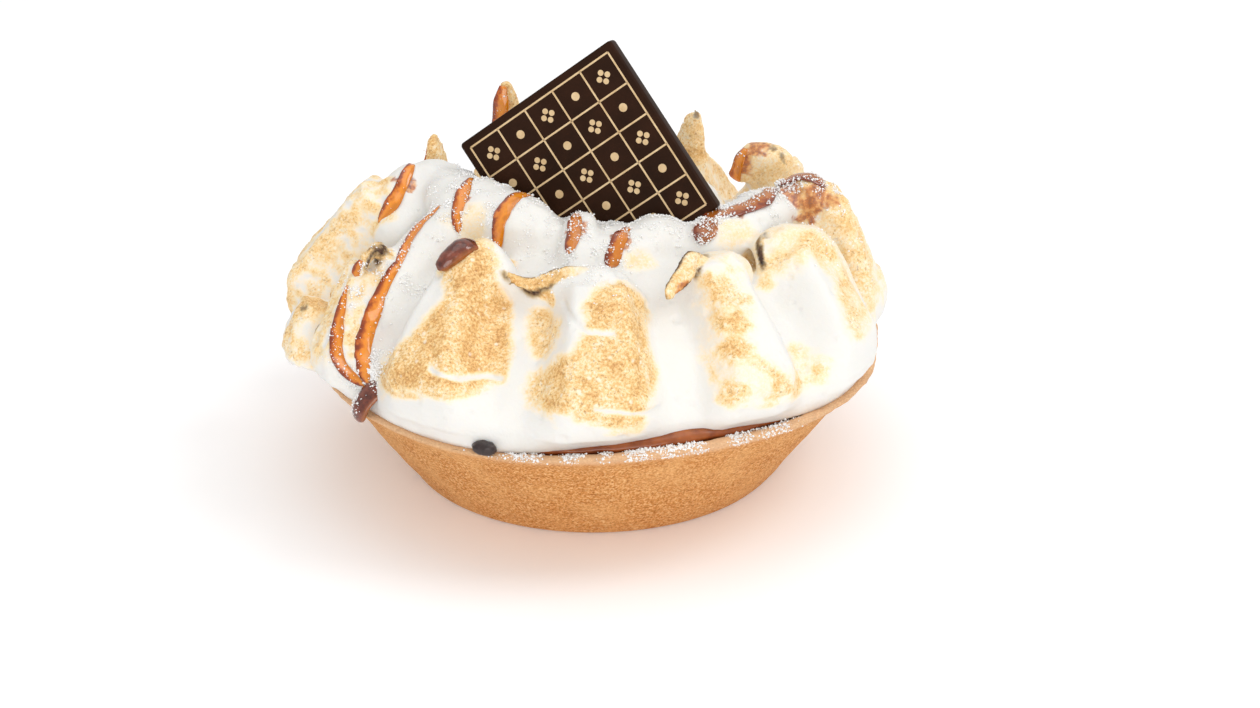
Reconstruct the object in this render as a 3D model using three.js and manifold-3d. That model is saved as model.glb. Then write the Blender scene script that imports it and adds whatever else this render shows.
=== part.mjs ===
// Single-serve lemon meringue tart: a plain shortcrust cup, a lemon filling that shows as a glossy line
// inside the rim, a torched meringue of pulled petals with caramel drizzle, and a square of dark chocolate
// stuck into the top. Millimetres and degrees. +Z is up, the front is towards -Y, and the middle of the base
// is the origin.

import * as THREE from 'three';
import { mergeVertices } from 'three/addons/utils/BufferGeometryUtils.js';
import Module from 'manifold-3d';

// Shortcrust cup
const RIM_RADIUS = 50;
const RIM_HEIGHT = 22.7;
const FOOT_RADIUS = 33;
const FLOOR_THICKNESS = 3;
const WALL_WIDTH = 3;
const CRUST_EDGE = 0.6;
const LIP_RISE = 4;
const LIP_FLARE = 4.2;
const LIP_START = RIM_HEIGHT - LIP_RISE;
const RIM_WAVE_HEIGHT = 0.7;
const RIM_WAVES = 4;
const RIM_WAVE_START = -25;
const CHIP_DIRECTION = -166;
const CHIP_SPREAD = 13;
const CHIP_DEPTH = 2.2;
const CUP_SEGMENTS = 56;

// Fit between neighbours
const GAP = 0.3;

// Lemon filling
const FILLING_HEIGHT = 22.2;
const FILLING_EDGE_RADIUS = 46.4;
const MENISCUS_WIDTH = 1;
const MENISCUS_RISE = 0.15;

// Meringue mound in the valleys between the petals: [radius, height] from the skirt up to the crown. It
// starts below its base, which is then cut to follow the rim.
const MOUND_BASE = RIM_HEIGHT + GAP;
const MOUND_SINK = 1;
const SKIRT_RADIUS = 46;
const MOUND_PROFILE = [
  [SKIRT_RADIUS, MOUND_BASE - MOUND_SINK],
  [SKIRT_RADIUS, 24.3],
  [SKIRT_RADIUS - 0.5, 26.6],
  [SKIRT_RADIUS - 3.5, 30.5],
  [SKIRT_RADIUS - 7.5, 34.5],
  [SKIRT_RADIUS - 12, 37.5],
  [SKIRT_RADIUS - 18, 40],
  [20, 42.5],
  [10, 44],
  [0, 44.5],
];
const MOUND_SEGMENTS = 90;
const MOUND_ROWS = 22;
const OVERHANG = 2.7;
const OVERHANG_TOP = 0.35;
const SETBACK_DIRECTION = -74;
const SETBACK_SPREAD = 46;
const SETBACK_DEPTH = 0.8;

// Petals: foot and tip are directions round the axis, reach and height place the tip, half is the half width
// at the foot, point the half width at the tip, depth how far the face stands out of the valleys, and curl
// bends the tip along [round the axis, outwards, up].
const PETALS = [
  { foot: -121, tip: -132, reach: 29.5, height: 46.5, half: 14, point: 7, depth: 5.5, curl: [0, -1, -1.5] },
  { foot: -88, tip: -88, reach: 31, height: 45.5, half: 14, point: 9, depth: 5.5, curl: [0, -1, -1.5] },
  { foot: -57, tip: -50, reach: 30, height: 46, half: 12, point: 7, depth: 5.5, curl: [0, -1, -1.5] },
  { foot: -31, tip: -18, reach: 34.5, height: 45, half: 14, point: 9, depth: 5, curl: [0, -1, -1.5] },
  { foot: 10, tip: 9, reach: 36, height: 47.5, half: 14, point: 8, depth: 4.5, curl: [-3, 1, 0.5] },
  { foot: 38, tip: 34, reach: 36, height: 48.5, half: 12, point: 7, depth: 5, curl: [0, -1, -1] },
  { foot: 65, tip: 58, reach: 31.5, height: 46, half: 11, point: 6, depth: 5, curl: [-1, 1, 8] },
  { foot: 90, tip: 88, reach: 33, height: 49.5, half: 13, point: 7, depth: 5, curl: [0, -1, -1] },
  { foot: 114, tip: 117, reach: 33.5, height: 48, half: 11, point: 6, depth: 5, curl: [1, 1, 10] },
  { foot: 146, tip: 145, reach: 35, height: 45.5, half: 13, point: 5, depth: 5, curl: [-1, 1, 5.5] },
  { foot: 176, tip: 169, reach: 35, height: 49, half: 14, point: 8, depth: 7.5, curl: [-3, -1, 0] },
  { foot: -165, tip: -166, reach: 44, height: 34, half: 9, point: 6, depth: 6, curl: [0, 1, 1] },
  { foot: -149, tip: -158, reach: 38, height: 43.5, half: 9, point: 5, depth: 4.5, curl: [0, -1, -1] },
];
const PETAL_RISE = 0.3;
const PETAL_DROP = 0.22;
const PETAL_EDGE = 0.35;
const PETAL_TAPER = 1.4;
const PETAL_MERGE = 4;
const CURL_SIDES = 8;
const CURL_STEPS = 6;
const CURL_ROOT = 4;
const CURL_NECK_SHARE = 0.7;
const CURL_END_SHARE = 0.5;
const CURL_END_LARGEST = 2;
const CURL_FLATNESS = 0.7;
const CURL_UPTURN = 0.5;
const END_ROUNDNESS = 4;

// Crown lumps inside the ring of petals, and the crests along the petals' upper edges: each follows a route,
// with its half width
const LUMPS = [
  { route: [[-26, 3, 46.5], [-8, -10, 44.5]], half: 6.5 },
  { route: [[-3, -21, 41], [-1.8, -10, 47.5]], half: 3 },
  { route: [[1, -15, 42], [13, -9, 44]], half: 5.5 },
  { route: [[17, -13, 43], [32, 4, 44.5]], half: 5.5 },
  { route: [[-16, 17, 41.5], [-3, 21, 43]], half: 6 },
  { route: [[6, 18, 42.5], [20, 11, 41]], half: 6 },
  { route: [[-37, -19, 35], [-23, -4, 46]], half: 5 },
  { route: [[-30, 13, 46.2], [-22.5, 4.5, 46]], half: 5 },
  { route: [[-35.5, -0.5, 40.5], [-28.5, 8, 44.5]], half: 4.5 },
];
const CRESTS = [
  { route: [[-23, -24.5, 44.6], [-18.2, -21.5, 46.4], [-15.3, -22.5, 44.6], [-13.5, -25, 42]], half: 2.4 },
  { route: [[-4, -28.5, 44], [-0.3, -28, 44.5], [3.8, -28, 43.8], [7, -28.5, 41]], half: 2.3 },
  { route: [[18.6, -23.5, 44.4], [21.2, -22.5, 44.7], [24, -21.5, 43.6], [25.4, -21.5, 41.8]], half: 2.2 },
  {
    route: [[28.6, -12.2, 44], [31.3, -11, 44.9], [35.9, -9, 44.5], [39.2, -8.3, 41.9], [45, -14, 30]],
    half: 2.2,
  },
  {
    route: [[31.5, 6.5, 45.8], [35.7, 5.5, 47], [39.5, 4.5, 47], [41.8, 3.3, 44.8], [47.5, -1.5, 30]],
    half: 2.3,
  },
  { route: [[25.5, 19.5, 44.3], [27.7, 20, 48], [32, 19.5, 48.4], [34.3, 18.5, 46.8]], half: 2.4 },
  { route: [[4, 34.5, 43.5], [2, 33.5, 46.4], [-1.5, 33.5, 46.8], [-4, 35, 44]], half: 2.5 },
  {
    route: [[-48.5, -1, 30.5], [-42.8, 4.5, 40], [-37.9, 6.5, 45.2], [-31.8, 9.5, 46.6], [-29, 12, 48]],
    half: 2.4,
  },
];
const LUMP_SIDES = 8;
const LUMP_STEPS = 6;
const CREST_SIDES = 6;
const CREST_STEPS = 8;
const LUMP_FLATNESS = 0.8;

// Small curled ends at the petals' tips, with half widths at both ends: the tip of the last petal, a ribbon
// beside the second one and the hook of the third one
const FLAPS = [
  { route: [[-38.6, -18.6, 41.2], [-37.6, -16.8, 43.4], [-36, -15.2, 44], [-34.6, -15, 43]], half: [2, 1.7] },
  { route: [[-1.4, -29, 46], [-7.5, -28, 44.2], [-9.8, -27.6, 43.1], [-13.8, -25.6, 44.7]], half: [1.7, 1] },
  { route: [[18.6, -24, 44.8], [16.3, -25.5, 46.4], [14.9, -28, 45.2], [12.2, -32, 42.6]], half: [2, 1.6] },
];
const FLAP_SIDES = 6;
const FLAP_STEPS = 6;
const FLAP_FLATNESS = 0.5;

// Caramel drizzle: routes over the meringue and half widths. Free ones hang where they are drawn: the glazed
// end of the front left petal and the drop that ran down to the rim.
const CORE_HEIGHT = 24;
const CARAMEL = [
  {
    route: [[-18.4, -21, 47.8], [-20.5, -23, 48], [-23, -25, 46.8], [-24.9, -26.5, 45.2]],
    half: 2.1,
    free: true,
  },
  {
    route: [[-34, -31.7, 28], [-36.1, -33.1, 26.2], [-37.7, -33.9, 24], [-38.2, -33.8, 21.4]],
    half: 2,
    free: true,
  },
  { route: [[-41, -20, 40], [-42, -24, 35], [-42, -28, 30], [-38.5, -31.5, 27]], half: 1.1 },
  { route: [[-26, -5, 48], [-30, -10, 45], [-33, -18, 41], [-38, -27, 30], [-36.5, -31, 27]], half: 1.5 },
  { route: [[-32, 9, 50], [-33, 5, 49], [-35, 2, 44], [-36, 1, 42]], half: 1.4 },
  { route: [[-21, 0, 51], [-22, -4, 51], [-23, -7, 49], [-23, -10, 45]], half: 1.1 },
  { route: [[-10, -2, 50], [-12, -5, 50], [-15, -10, 48], [-16.5, -13, 43]], half: 1.4 },
  { route: [[-3, -9, 49], [-3, -15, 47], [-4, -19, 45]], half: 1.2 },
  { route: [[6, -13, 47], [4, -17, 46], [3, -20, 43]], half: 1.4 },
  { route: [[21, -4, 48], [19, -12, 47], [18, -15, 45]], half: 1.8 },
  { route: [[18, -11, 48], [23, -7, 47.4], [28, -3, 46], [30, 1, 46], [31, 5, 48]], half: 1.7 },
  { route: [[31, 6, 48.6], [35.7, 5, 49], [40, 3.5, 48]], half: 1.6 },
  { route: [[27, 19, 49.5], [25, 18, 46.5], [23.6, 17.5, 42.6]], half: 1.7 },
  { route: [[-17.3, 28, 58.5], [-17.3, 27.5, 55], [-18, 27.5, 51], [-18, 27, 48]], half: 1.7 },
  { route: [[1, 33, 50], [0, 38, 46], [-2, 42, 40]], half: 1.1 },
  { route: [[-28, 19.5, 48.5], [-31, 22.5, 43], [-34, 25, 38]], half: 1.1 },
];
const STRAND_SINK = 0.5;
const STRAND_SIDES = 4;
const STRAND_STEP = 3.2;
const STRAND_FEWEST_STEPS = 3;
const STRAND_SAMPLES = 14;
const DROP_FLATNESS = 0.6;

// Burnt sugar bead on the front edge of the skirt
const BEAD_DIRECTION = -110;
const BEAD_RADIUS = 49.5;
const BEAD_HEIGHT = 23.1;
const BEAD_SIZE = [2.1, 1.3, 1.2];
const BEAD_SIDES = 10;
const BEAD_ROWS = 8;

// Chocolate plaque
const PLAQUE_SIDE = 33.5;
const PLAQUE_THICKNESS = 2.5;
const PLAQUE_BEVEL = 0.3;
const PLAQUE_BEVEL_STEPS = 2;
const PLAQUE_CENTRE = [-0.8, 1, 51.5];
const PLAQUE_YAW = -18;
const PLAQUE_LEAN = 10.3;
const PLAQUE_SPIN = 38.2;

// Working distances
const FAR = 120;
const WELD_DISTANCE = 1e-4;
const SAME_PLACE = 1e-3;

const radians = THREE.MathUtils.degToRad;
const flatPoint = ([x, y]) => new THREE.Vector2(x, y);
const routeCurve = (route) => new THREE.CatmullRomCurve3(route.map((place) => new THREE.Vector3(...place)));
const moundCurve = new THREE.SplineCurve(MOUND_PROFILE.map(flatPoint));
const moundRows = moundCurve.getSpacedPoints(MOUND_ROWS);
const wasm = await Module();
wasm.setup();

function polar(direction, radius, height) {
  const angle = radians(direction);
  return new THREE.Vector3(radius * Math.cos(angle), radius * Math.sin(angle), height);
}

// Shared vertices merged and the triangles that collapse at a pole or on the axis dropped
function welded(geometry) {
  const bare = geometry.clone();
  bare.deleteAttribute('normal');
  bare.deleteAttribute('uv');
  const merged = mergeVertices(bare, WELD_DISTANCE);
  const corners = merged.getIndex().array;
  const kept = [];
  for (let i = 0; i < corners.length; i += 3) {
    const [a, b, c] = corners.slice(i, i + 3);
    if (a !== b && b !== c && c !== a) {
      kept.push(a, b, c);
    }
  }
  merged.setIndex(kept);
  return merged;
}

function solidOf(geometry) {
  const mesh = welded(geometry);
  return new wasm.Manifold(
    new wasm.Mesh({
      numProp: 3,
      vertProperties: new Float32Array(mesh.getAttribute('position').array),
      triVerts: new Uint32Array(mesh.getIndex().array),
    }),
  );
}

function geometryOf(solid) {
  const mesh = solid.getMesh();
  const geometry = new THREE.BufferGeometry();
  geometry.setAttribute('position', new THREE.BufferAttribute(mesh.vertProperties, 3));
  geometry.setIndex(new THREE.BufferAttribute(mesh.triVerts, 1));
  geometry.computeVertexNormals();
  return geometry;
}

function joined(geometries) {
  return geometries.map(solidOf).reduce((whole, next) => whole.add(next));
}

// A profile of [radius, height] pairs turned about the upright axis
function turned(profile, segments) {
  return new THREE.LatheGeometry(profile.map(flatPoint), segments).rotateX(Math.PI / 2);
}

// Moves every vertex by a rule that edits it in place
function reshaped(geometry, rule) {
  const position = geometry.getAttribute('position');
  const vertex = new THREE.Vector3();
  for (let i = 0; i < position.count; i += 1) {
    rule(vertex.fromBufferAttribute(position, i));
    position.setXYZ(i, vertex.x, vertex.y, vertex.z);
  }
  return geometry;
}

function directionOf({ x, y }) {
  return THREE.MathUtils.radToDeg(Math.atan2(y, x));
}

// A turn from one direction to another, between -180 and 180
function turnBetween(from, to) {
  return THREE.MathUtils.euclideanModulo(to - from + 180, 360) - 180;
}

// 1 at a direction, falling to 0 at the spread on either side
function swell(direction, centre, spread) {
  const turn = THREE.MathUtils.clamp(turnBetween(centre, direction) / spread, -1, 1);
  return Math.cos((turn * Math.PI) / 2) ** 2;
}

// The rim of hand-pressed pastry rises and falls a little on its way round
function followRim(vertex) {
  const wave = Math.cos(RIM_WAVES * radians(directionOf(vertex) - RIM_WAVE_START));
  const share = (vertex.z / RIM_HEIGHT) ** 2;
  vertex.z -= RIM_WAVE_HEIGHT * wave * share;
}

// A chip has broken away from the outer edge of the lip
function chipLip(vertex) {
  const radius = Math.hypot(vertex.x, vertex.y);
  const inside = RIM_RADIUS - WALL_WIDTH;
  if (vertex.z < LIP_START || radius < inside) {
    return;
  }
  const loss = CHIP_DEPTH * swell(directionOf(vertex), CHIP_DIRECTION, CHIP_SPREAD);
  const kept = 1 - (loss * (radius - inside)) / WALL_WIDTH / radius;
  vertex.x *= kept;
  vertex.y *= kept;
}

// Outer radius of the cup's wall: a straight slope that flares into the lip
function wallRadius(height) {
  const shoulder = RIM_RADIUS - LIP_FLARE;
  if (height < LIP_START) {
    return THREE.MathUtils.lerp(FOOT_RADIUS, shoulder, height / LIP_START);
  }
  return THREE.MathUtils.lerp(shoulder, RIM_RADIUS, (height - LIP_START) / LIP_RISE);
}

function pastryShell() {
  const edge = CRUST_EDGE;
  const profile = [
    [0, 0],
    [FOOT_RADIUS - edge, 0],
    [wallRadius(edge), edge],
    [wallRadius(LIP_START / 2), LIP_START / 2],
    [wallRadius(LIP_START - edge), LIP_START - edge],
    [wallRadius(LIP_START + edge), LIP_START + edge],
    [RIM_RADIUS - edge / 2, RIM_HEIGHT - edge],
    [RIM_RADIUS, RIM_HEIGHT - edge / 3],
    [RIM_RADIUS - edge, RIM_HEIGHT],
    [RIM_RADIUS - WALL_WIDTH, RIM_HEIGHT - edge / 2],
    [wallRadius(LIP_START) - WALL_WIDTH, LIP_START],
    [wallRadius(LIP_START / 2) - WALL_WIDTH, LIP_START / 2],
    [wallRadius(FLOOR_THICKNESS + edge) - WALL_WIDTH, FLOOR_THICKNESS + edge],
    [wallRadius(FLOOR_THICKNESS) - WALL_WIDTH - edge, FLOOR_THICKNESS],
    [0, FLOOR_THICKNESS],
  ];
  return reshaped(reshaped(turned(profile, CUP_SEGMENTS), chipLip), followRim);
}

function lemonFilling() {
  const bottom = FLOOR_THICKNESS + GAP;
  const inset = WALL_WIDTH + 2 * GAP;
  const profile = [
    [0, bottom],
    [wallRadius(bottom) - inset - GAP, bottom],
    [wallRadius(LIP_START / 2) - inset, LIP_START / 2],
    [wallRadius(LIP_START) - inset, LIP_START],
    [FILLING_EDGE_RADIUS, FILLING_HEIGHT],
    [FILLING_EDGE_RADIUS - MENISCUS_WIDTH, FILLING_HEIGHT + MENISCUS_RISE],
    [FILLING_EDGE_RADIUS - 3 * MENISCUS_WIDTH, FILLING_HEIGHT],
    [0, FILLING_HEIGHT],
  ];
  return reshaped(turned(profile, CUP_SEGMENTS), followRim);
}

// A rounded body along a curve: sections are ellipses that lie across it, size gives [half width, half depth]
// at each share of the way, and outward says which way the depth faces.
function sweptBody(curve, size, outward, sides, steps) {
  const tangent = new THREE.Vector3();
  const side = new THREE.Vector3();
  const depth = new THREE.Vector3();
  return reshaped(new THREE.SphereGeometry(1, sides, steps), (vertex) => {
    const share = (vertex.y + 1) / 2;
    const around = Math.atan2(vertex.z, vertex.x);
    const rounding = Math.sqrt(Math.max(0, 1 - vertex.y ** END_ROUNDNESS));
    const [halfWidth, halfDepth] = size(share);
    curve.getTangentAt(share, tangent);
    side.crossVectors(tangent, outward).normalize();
    depth.crossVectors(side, tangent).normalize();
    vertex.copy(curve.getPointAt(share));
    vertex.addScaledVector(side, -halfWidth * rounding * Math.cos(around));
    vertex.addScaledVector(depth, -halfDepth * rounding * Math.sin(around));
  });
}

// How far up the mound's profile a radius lies, from 0 at the skirt to 1 at the crown, and the valley's
// height there
function valleyAt(radius) {
  const index = moundRows.findIndex((row) => row.x <= radius);
  return { share: index / MOUND_ROWS, height: moundRows[index].y };
}

// One petal's lift off the valley: widest at the foot, narrowing to the tip, with a steep drop behind it
function petalLift(petal, direction, share, radius) {
  const { smoothstep, lerp, clamp } = THREE.MathUtils;
  const { foot, tip, reach, height, half, point, depth } = petal;
  const valley = valleyAt(reach);
  const climb = share / valley.share;
  const climbed = clamp(climb, 0, 1);
  const halfWidth = lerp(point, half, (1 - climbed) ** PETAL_TAPER);
  const turn = turnBetween(lerp(foot, tip, climbed), direction);
  const across = Math.abs(radians(turn) * radius) / halfWidth;
  const side = 1 - smoothstep(across, PETAL_EDGE, 1);
  const along = smoothstep(climb, 0, PETAL_RISE) * (1 - smoothstep(climb, 1, 1 + PETAL_DROP));
  return lerp(depth, Math.max(depth, height - valley.height), climbed ** 2) * side * along;
}

// The skirt reaches over the rim, and draws back where the filling shows
function overhang(direction, share) {
  const setback = swell(direction, SETBACK_DIRECTION, SETBACK_SPREAD);
  const reach = THREE.MathUtils.lerp(OVERHANG, -SETBACK_DEPTH, setback);
  return reach * (1 - THREE.MathUtils.smoothstep(share, 0, OVERHANG_TOP));
}

function petalCurl({ tip, reach, height, point, curl }) {
  const [round, out, up] = curl;
  const root = polar(tip, reach + 1, height - CURL_ROOT - point / 2);
  const neck = polar(tip, reach, height - point / 2);
  const end = polar(tip, reach + out, height + up).addScaledVector(polar(tip + 90, 1, 0), round);
  const curve = new THREE.CatmullRomCurve3([root, neck, end]);
  const endHalf = Math.min(point * CURL_END_SHARE, CURL_END_LARGEST);
  const size = (share) => {
    const half = THREE.MathUtils.lerp(point * CURL_NECK_SHARE, endHalf, share);
    return [half, half * CURL_FLATNESS];
  };
  return sweptBody(curve, size, polar(tip, 1, CURL_UPTURN), CURL_SIDES, CURL_STEPS);
}

function ridgeBody({ route, half }, sides, steps) {
  const upward = new THREE.Vector3(0, 0, 1);
  return sweptBody(routeCurve(route), () => [half, half * LUMP_FLATNESS], upward, sides, steps);
}

// A flat tongue that widens or narrows along its route and faces outwards
function flapBody({ route, half }, flatness) {
  const curve = routeCurve(route);
  const outward = polar(directionOf(curve.getPointAt(0.5)), 1, CURL_UPTURN);
  const size = (share) => {
    const width = THREE.MathUtils.lerp(half[0], half[1], share);
    return [width, width * flatness];
  };
  return sweptBody(curve, size, outward, FLAP_SIDES, FLAP_STEPS);
}

// The mound is turned from its profile, then each point moves out along the profile's normal by the petals'
// lift
function mound() {
  const bottom = [0, MOUND_BASE - MOUND_SINK];
  const rows = moundRows.map(({ x, y }) => [x, y]);
  const geometry = turned([bottom, ...rows], MOUND_SEGMENTS);
  return reshaped(geometry, (vertex) => {
    const radius = Math.hypot(vertex.x, vertex.y);
    const row = moundRows.findIndex(({ x, y }) => Math.hypot(x - radius, y - vertex.z) < SAME_PLACE);
    if (row < 0 || row === MOUND_ROWS) {
      return;
    }
    const direction = directionOf(vertex);
    const share = row / MOUND_ROWS;
    const lifts = PETALS.map((petal) => petalLift(petal, direction, share, radius) ** PETAL_MERGE);
    const petalsLift = lifts.reduce((sum, next) => sum + next) ** (1 / PETAL_MERGE);
    const lift = petalsLift + overhang(direction, share);
    const slope = moundCurve.getTangentAt(share);
    vertex.add(polar(direction, lift * slope.y, -lift * slope.x));
  });
}

// Where a straight line from a place to the core first meets the meringue, a little below its surface
function onSurface(target, place, sink) {
  const core = new THREE.Vector3(0, 0, CORE_HEIGHT);
  const away = place.clone().sub(core).normalize();
  const start = core.clone().addScaledVector(away, FAR);
  const [hit] = new THREE.Raycaster(start, away.clone().negate(), 0, FAR).intersectObject(target);
  return hit.point.addScaledVector(away, -sink);
}

// A strand follows its route over the meringue, half sunk into it
function strandBody(target, { route, half, free }) {
  if (free) {
    return flapBody({ route, half: [half, half] }, DROP_FLATNESS);
  }
  const samples = routeCurve(route).getSpacedPoints(STRAND_SAMPLES);
  const points = samples.map((place) => onSurface(target, place, STRAND_SINK * half));
  const path = new THREE.CatmullRomCurve3(points);
  const outline = new THREE.Shape().absarc(0, 0, half, 0, 2 * Math.PI);
  return new THREE.ExtrudeGeometry(outline, {
    steps: Math.max(STRAND_FEWEST_STEPS, Math.round(path.getLength() / STRAND_STEP)),
    curveSegments: STRAND_SIDES,
    extrudePath: path,
  });
}

function bead() {
  const [along, out, tall] = BEAD_SIZE;
  const { x, y, z } = polar(BEAD_DIRECTION, BEAD_RADIUS, BEAD_HEIGHT);
  return new THREE.SphereGeometry(1, BEAD_SIDES, BEAD_ROWS)
    .scale(out, along, tall)
    .rotateZ(radians(BEAD_DIRECTION))
    .translate(x, y, z);
}

// The rim and the filling with the gap above them, so that the meringue lies on both without touching
function bedClearance() {
  const inside = RIM_RADIUS - WALL_WIDTH;
  const outside = 2 * RIM_RADIUS;
  const profile = [
    [0, 0],
    [outside, 0],
    [outside, MOUND_BASE],
    [inside, MOUND_BASE],
    [0, MOUND_BASE],
  ];
  return reshaped(turned(profile, CUP_SEGMENTS), followRim);
}

// The square stands on a corner, turned and leaning back in its own group
function plaqueGeometry(side, thickness, bevel) {
  const half = side / 2 - bevel;
  const corners = [[-half, -half], [half, -half], [half, half], [-half, half]];
  const outline = new THREE.Shape(corners.map(flatPoint));
  const depth = thickness - 2 * bevel;
  return new THREE.ExtrudeGeometry(outline, {
    depth,
    bevelEnabled: bevel > 0,
    bevelThickness: bevel,
    bevelSize: bevel,
    bevelSegments: PLAQUE_BEVEL_STEPS,
  }).translate(0, 0, -depth / 2);
}

function plaquePlace() {
  const place = new THREE.Object3D();
  place.position.set(...PLAQUE_CENTRE);
  place.rotation.set(Math.PI / 2 - radians(PLAQUE_LEAN), 0, radians(PLAQUE_YAW), 'ZXY');
  place.rotateZ(radians(PLAQUE_SPIN));
  place.updateMatrix();
  return place;
}

function meringue() {
  const body = joined([
    mound(),
    ...PETALS.map(petalCurl),
    ...LUMPS.map((lump) => ridgeBody(lump, LUMP_SIDES, LUMP_STEPS)),
    ...CRESTS.map((crest) => ridgeBody(crest, CREST_SIDES, CREST_STEPS)),
    ...FLAPS.map((flap) => flapBody(flap, FLAP_FLATNESS)),
  ]);
  const target = new THREE.Mesh(geometryOf(body));
  const toppings = joined([...CARAMEL.map((strand) => strandBody(target, strand)), bead()]);
  const slot = plaqueGeometry(PLAQUE_SIDE + 2 * GAP, PLAQUE_THICKNESS + 2 * GAP, 0);
  slot.applyMatrix4(plaquePlace().matrix);
  const cut = body.add(toppings).subtract(solidOf(bedClearance())).subtract(solidOf(slot));
  const [largest] = cut.decompose().sort((a, b) => b.volume() - a.volume());
  return geometryOf(largest);
}

function piece(name, geometry, color, roughness) {
  const material = new THREE.MeshStandardMaterial({ color, roughness, metalness: 0 });
  const mesh = new THREE.Mesh(geometry, material);
  mesh.name = name;
  return mesh;
}

const tart = new THREE.Group();
tart.name = 'lemon_meringue_tart';
tart.add(piece('pastry_shell', pastryShell(), 0xcf9a5e, 0.85));
tart.add(piece('lemon_filling', lemonFilling(), 0xb5702c, 0.3));
tart.add(piece('meringue', meringue(), 0xf6efe2, 0.6));

const plaque = plaquePlace();
const square = plaqueGeometry(PLAQUE_SIDE, PLAQUE_THICKNESS, PLAQUE_BEVEL);
plaque.add(piece('chocolate_plaque', square, 0x3a241b, 0.4));
tart.add(plaque);

export default tart;
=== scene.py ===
# Looks of a single-serve lemon meringue tart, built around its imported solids.
# Sizes here are millimetres and degrees in the frame of the solids; meshes are made in metres.
# Waves of noise are [size, shift, amount]. Patches of noise are size, shift, and where they begin and are
# full. A pair called FADE, CLIMBS, SHARES, SLOPES or SPREAD says where a soft change begins and ends.

import math

import bpy
import numpy as np
from mathutils import Matrix, Vector, noise
from mathutils.bvhtree import BVHTree
from mathutils.kdtree import KDTree


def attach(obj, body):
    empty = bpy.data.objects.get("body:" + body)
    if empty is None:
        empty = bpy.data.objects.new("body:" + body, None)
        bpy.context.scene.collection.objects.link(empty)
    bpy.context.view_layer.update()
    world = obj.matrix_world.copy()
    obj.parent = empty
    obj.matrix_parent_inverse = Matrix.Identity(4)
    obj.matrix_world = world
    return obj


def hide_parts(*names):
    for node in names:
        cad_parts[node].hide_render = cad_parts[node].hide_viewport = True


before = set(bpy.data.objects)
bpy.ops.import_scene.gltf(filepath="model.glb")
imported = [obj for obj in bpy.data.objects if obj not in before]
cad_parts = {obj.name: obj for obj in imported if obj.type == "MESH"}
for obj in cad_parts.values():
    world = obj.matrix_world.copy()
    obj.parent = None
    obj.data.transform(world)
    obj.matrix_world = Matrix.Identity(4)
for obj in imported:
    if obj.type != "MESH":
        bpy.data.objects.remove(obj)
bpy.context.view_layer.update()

MM = 0.001
BODY = "root"
UPWARD = np.array([0, 0, 1.0])
TINY = 1e-9
FAR = 1e3
rng = np.random.default_rng(7)

# Shortcrust cup
RIM_RADIUS = 50
RIM_HEIGHT = 22.7
FOOT_RADIUS = 33
FLOOR_THICKNESS = 3
WALL_WIDTH = 3
CRUST_EDGE = 0.6
LIP_RISE = 4
LIP_FLARE = 4.2
LIP_START = RIM_HEIGHT - LIP_RISE
RIM_WAVE_HEIGHT = 0.7
RIM_WAVES = 4
RIM_WAVE_START = -25
CHIP_DIRECTION = -166
CHIP_SPREAD = 13
CHIP_DEPTH = 2.2
CRUST_STRETCH = (1, 1, 5)
CRUMB_WAVES = [(1.1, 0, 0.06), (3.5, 0, 0.14), (12, 0, 0.35)]
LIP_WAVES = [(2, 0, 0.22), (5, 0, 0.25)]
LIP_TOP_WAVES = [(1.6, 0, 0.12)]
LIP_SHARES = (0.85, 1)
FOOT_FADE = (0.1, 1.5)
CUP_SEGMENTS = 720
CUP_STEP = 0.45

# Lemon filling: its edge is given as [outwards, upwards] from the inner edge of the rim
GAP = 0.3
FILLING_FOOT = 2
FILLING_EDGE = [(0.2, -0.4), (0, 0.2), (-1, 0.9), (-4, 1.2)]
FILLING_WAVES = [(4, 0, 0.22), (1.5, 0, 0.08)]
FILLING_ROWS = 110
FILLING_SEGMENTS = 360

# Meringue mound and petals, as in the solids
MOUND_BASE = RIM_HEIGHT + GAP
MOUND_SINK = 1
SKIRT_RADIUS = 46
MOUND_PROFILE = [
    (SKIRT_RADIUS, MOUND_BASE - MOUND_SINK),
    (SKIRT_RADIUS, 24.3),
    (SKIRT_RADIUS - 0.5, 26.6),
    (SKIRT_RADIUS - 3.5, 30.5),
    (SKIRT_RADIUS - 7.5, 34.5),
    (SKIRT_RADIUS - 12, 37.5),
    (SKIRT_RADIUS - 18, 40),
    (20, 42.5),
    (10, 44),
    (0, 44.5),
]
PROFILE_POINTS = 241
TABLE_STEP = 0.5
TABLE_RADII = np.arange(0, 80, TABLE_STEP)
TABLE_HEIGHTS = np.arange(18, 66, TABLE_STEP)
TABLE_EDGE = 1.001
OVERHANG = 2.7
OVERHANG_TOP = 0.35
SETBACK_DIRECTION = -74
SETBACK_SPREAD = 46
SETBACK_DEPTH = 0.8
PETAL_RISE = 0.3
PETAL_DROP = 0.22
PETAL_EDGE = 0.35
PETAL_TAPER = 1.4
PETAL_MERGE = 4
PETAL_OVERREACH = 8

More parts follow.
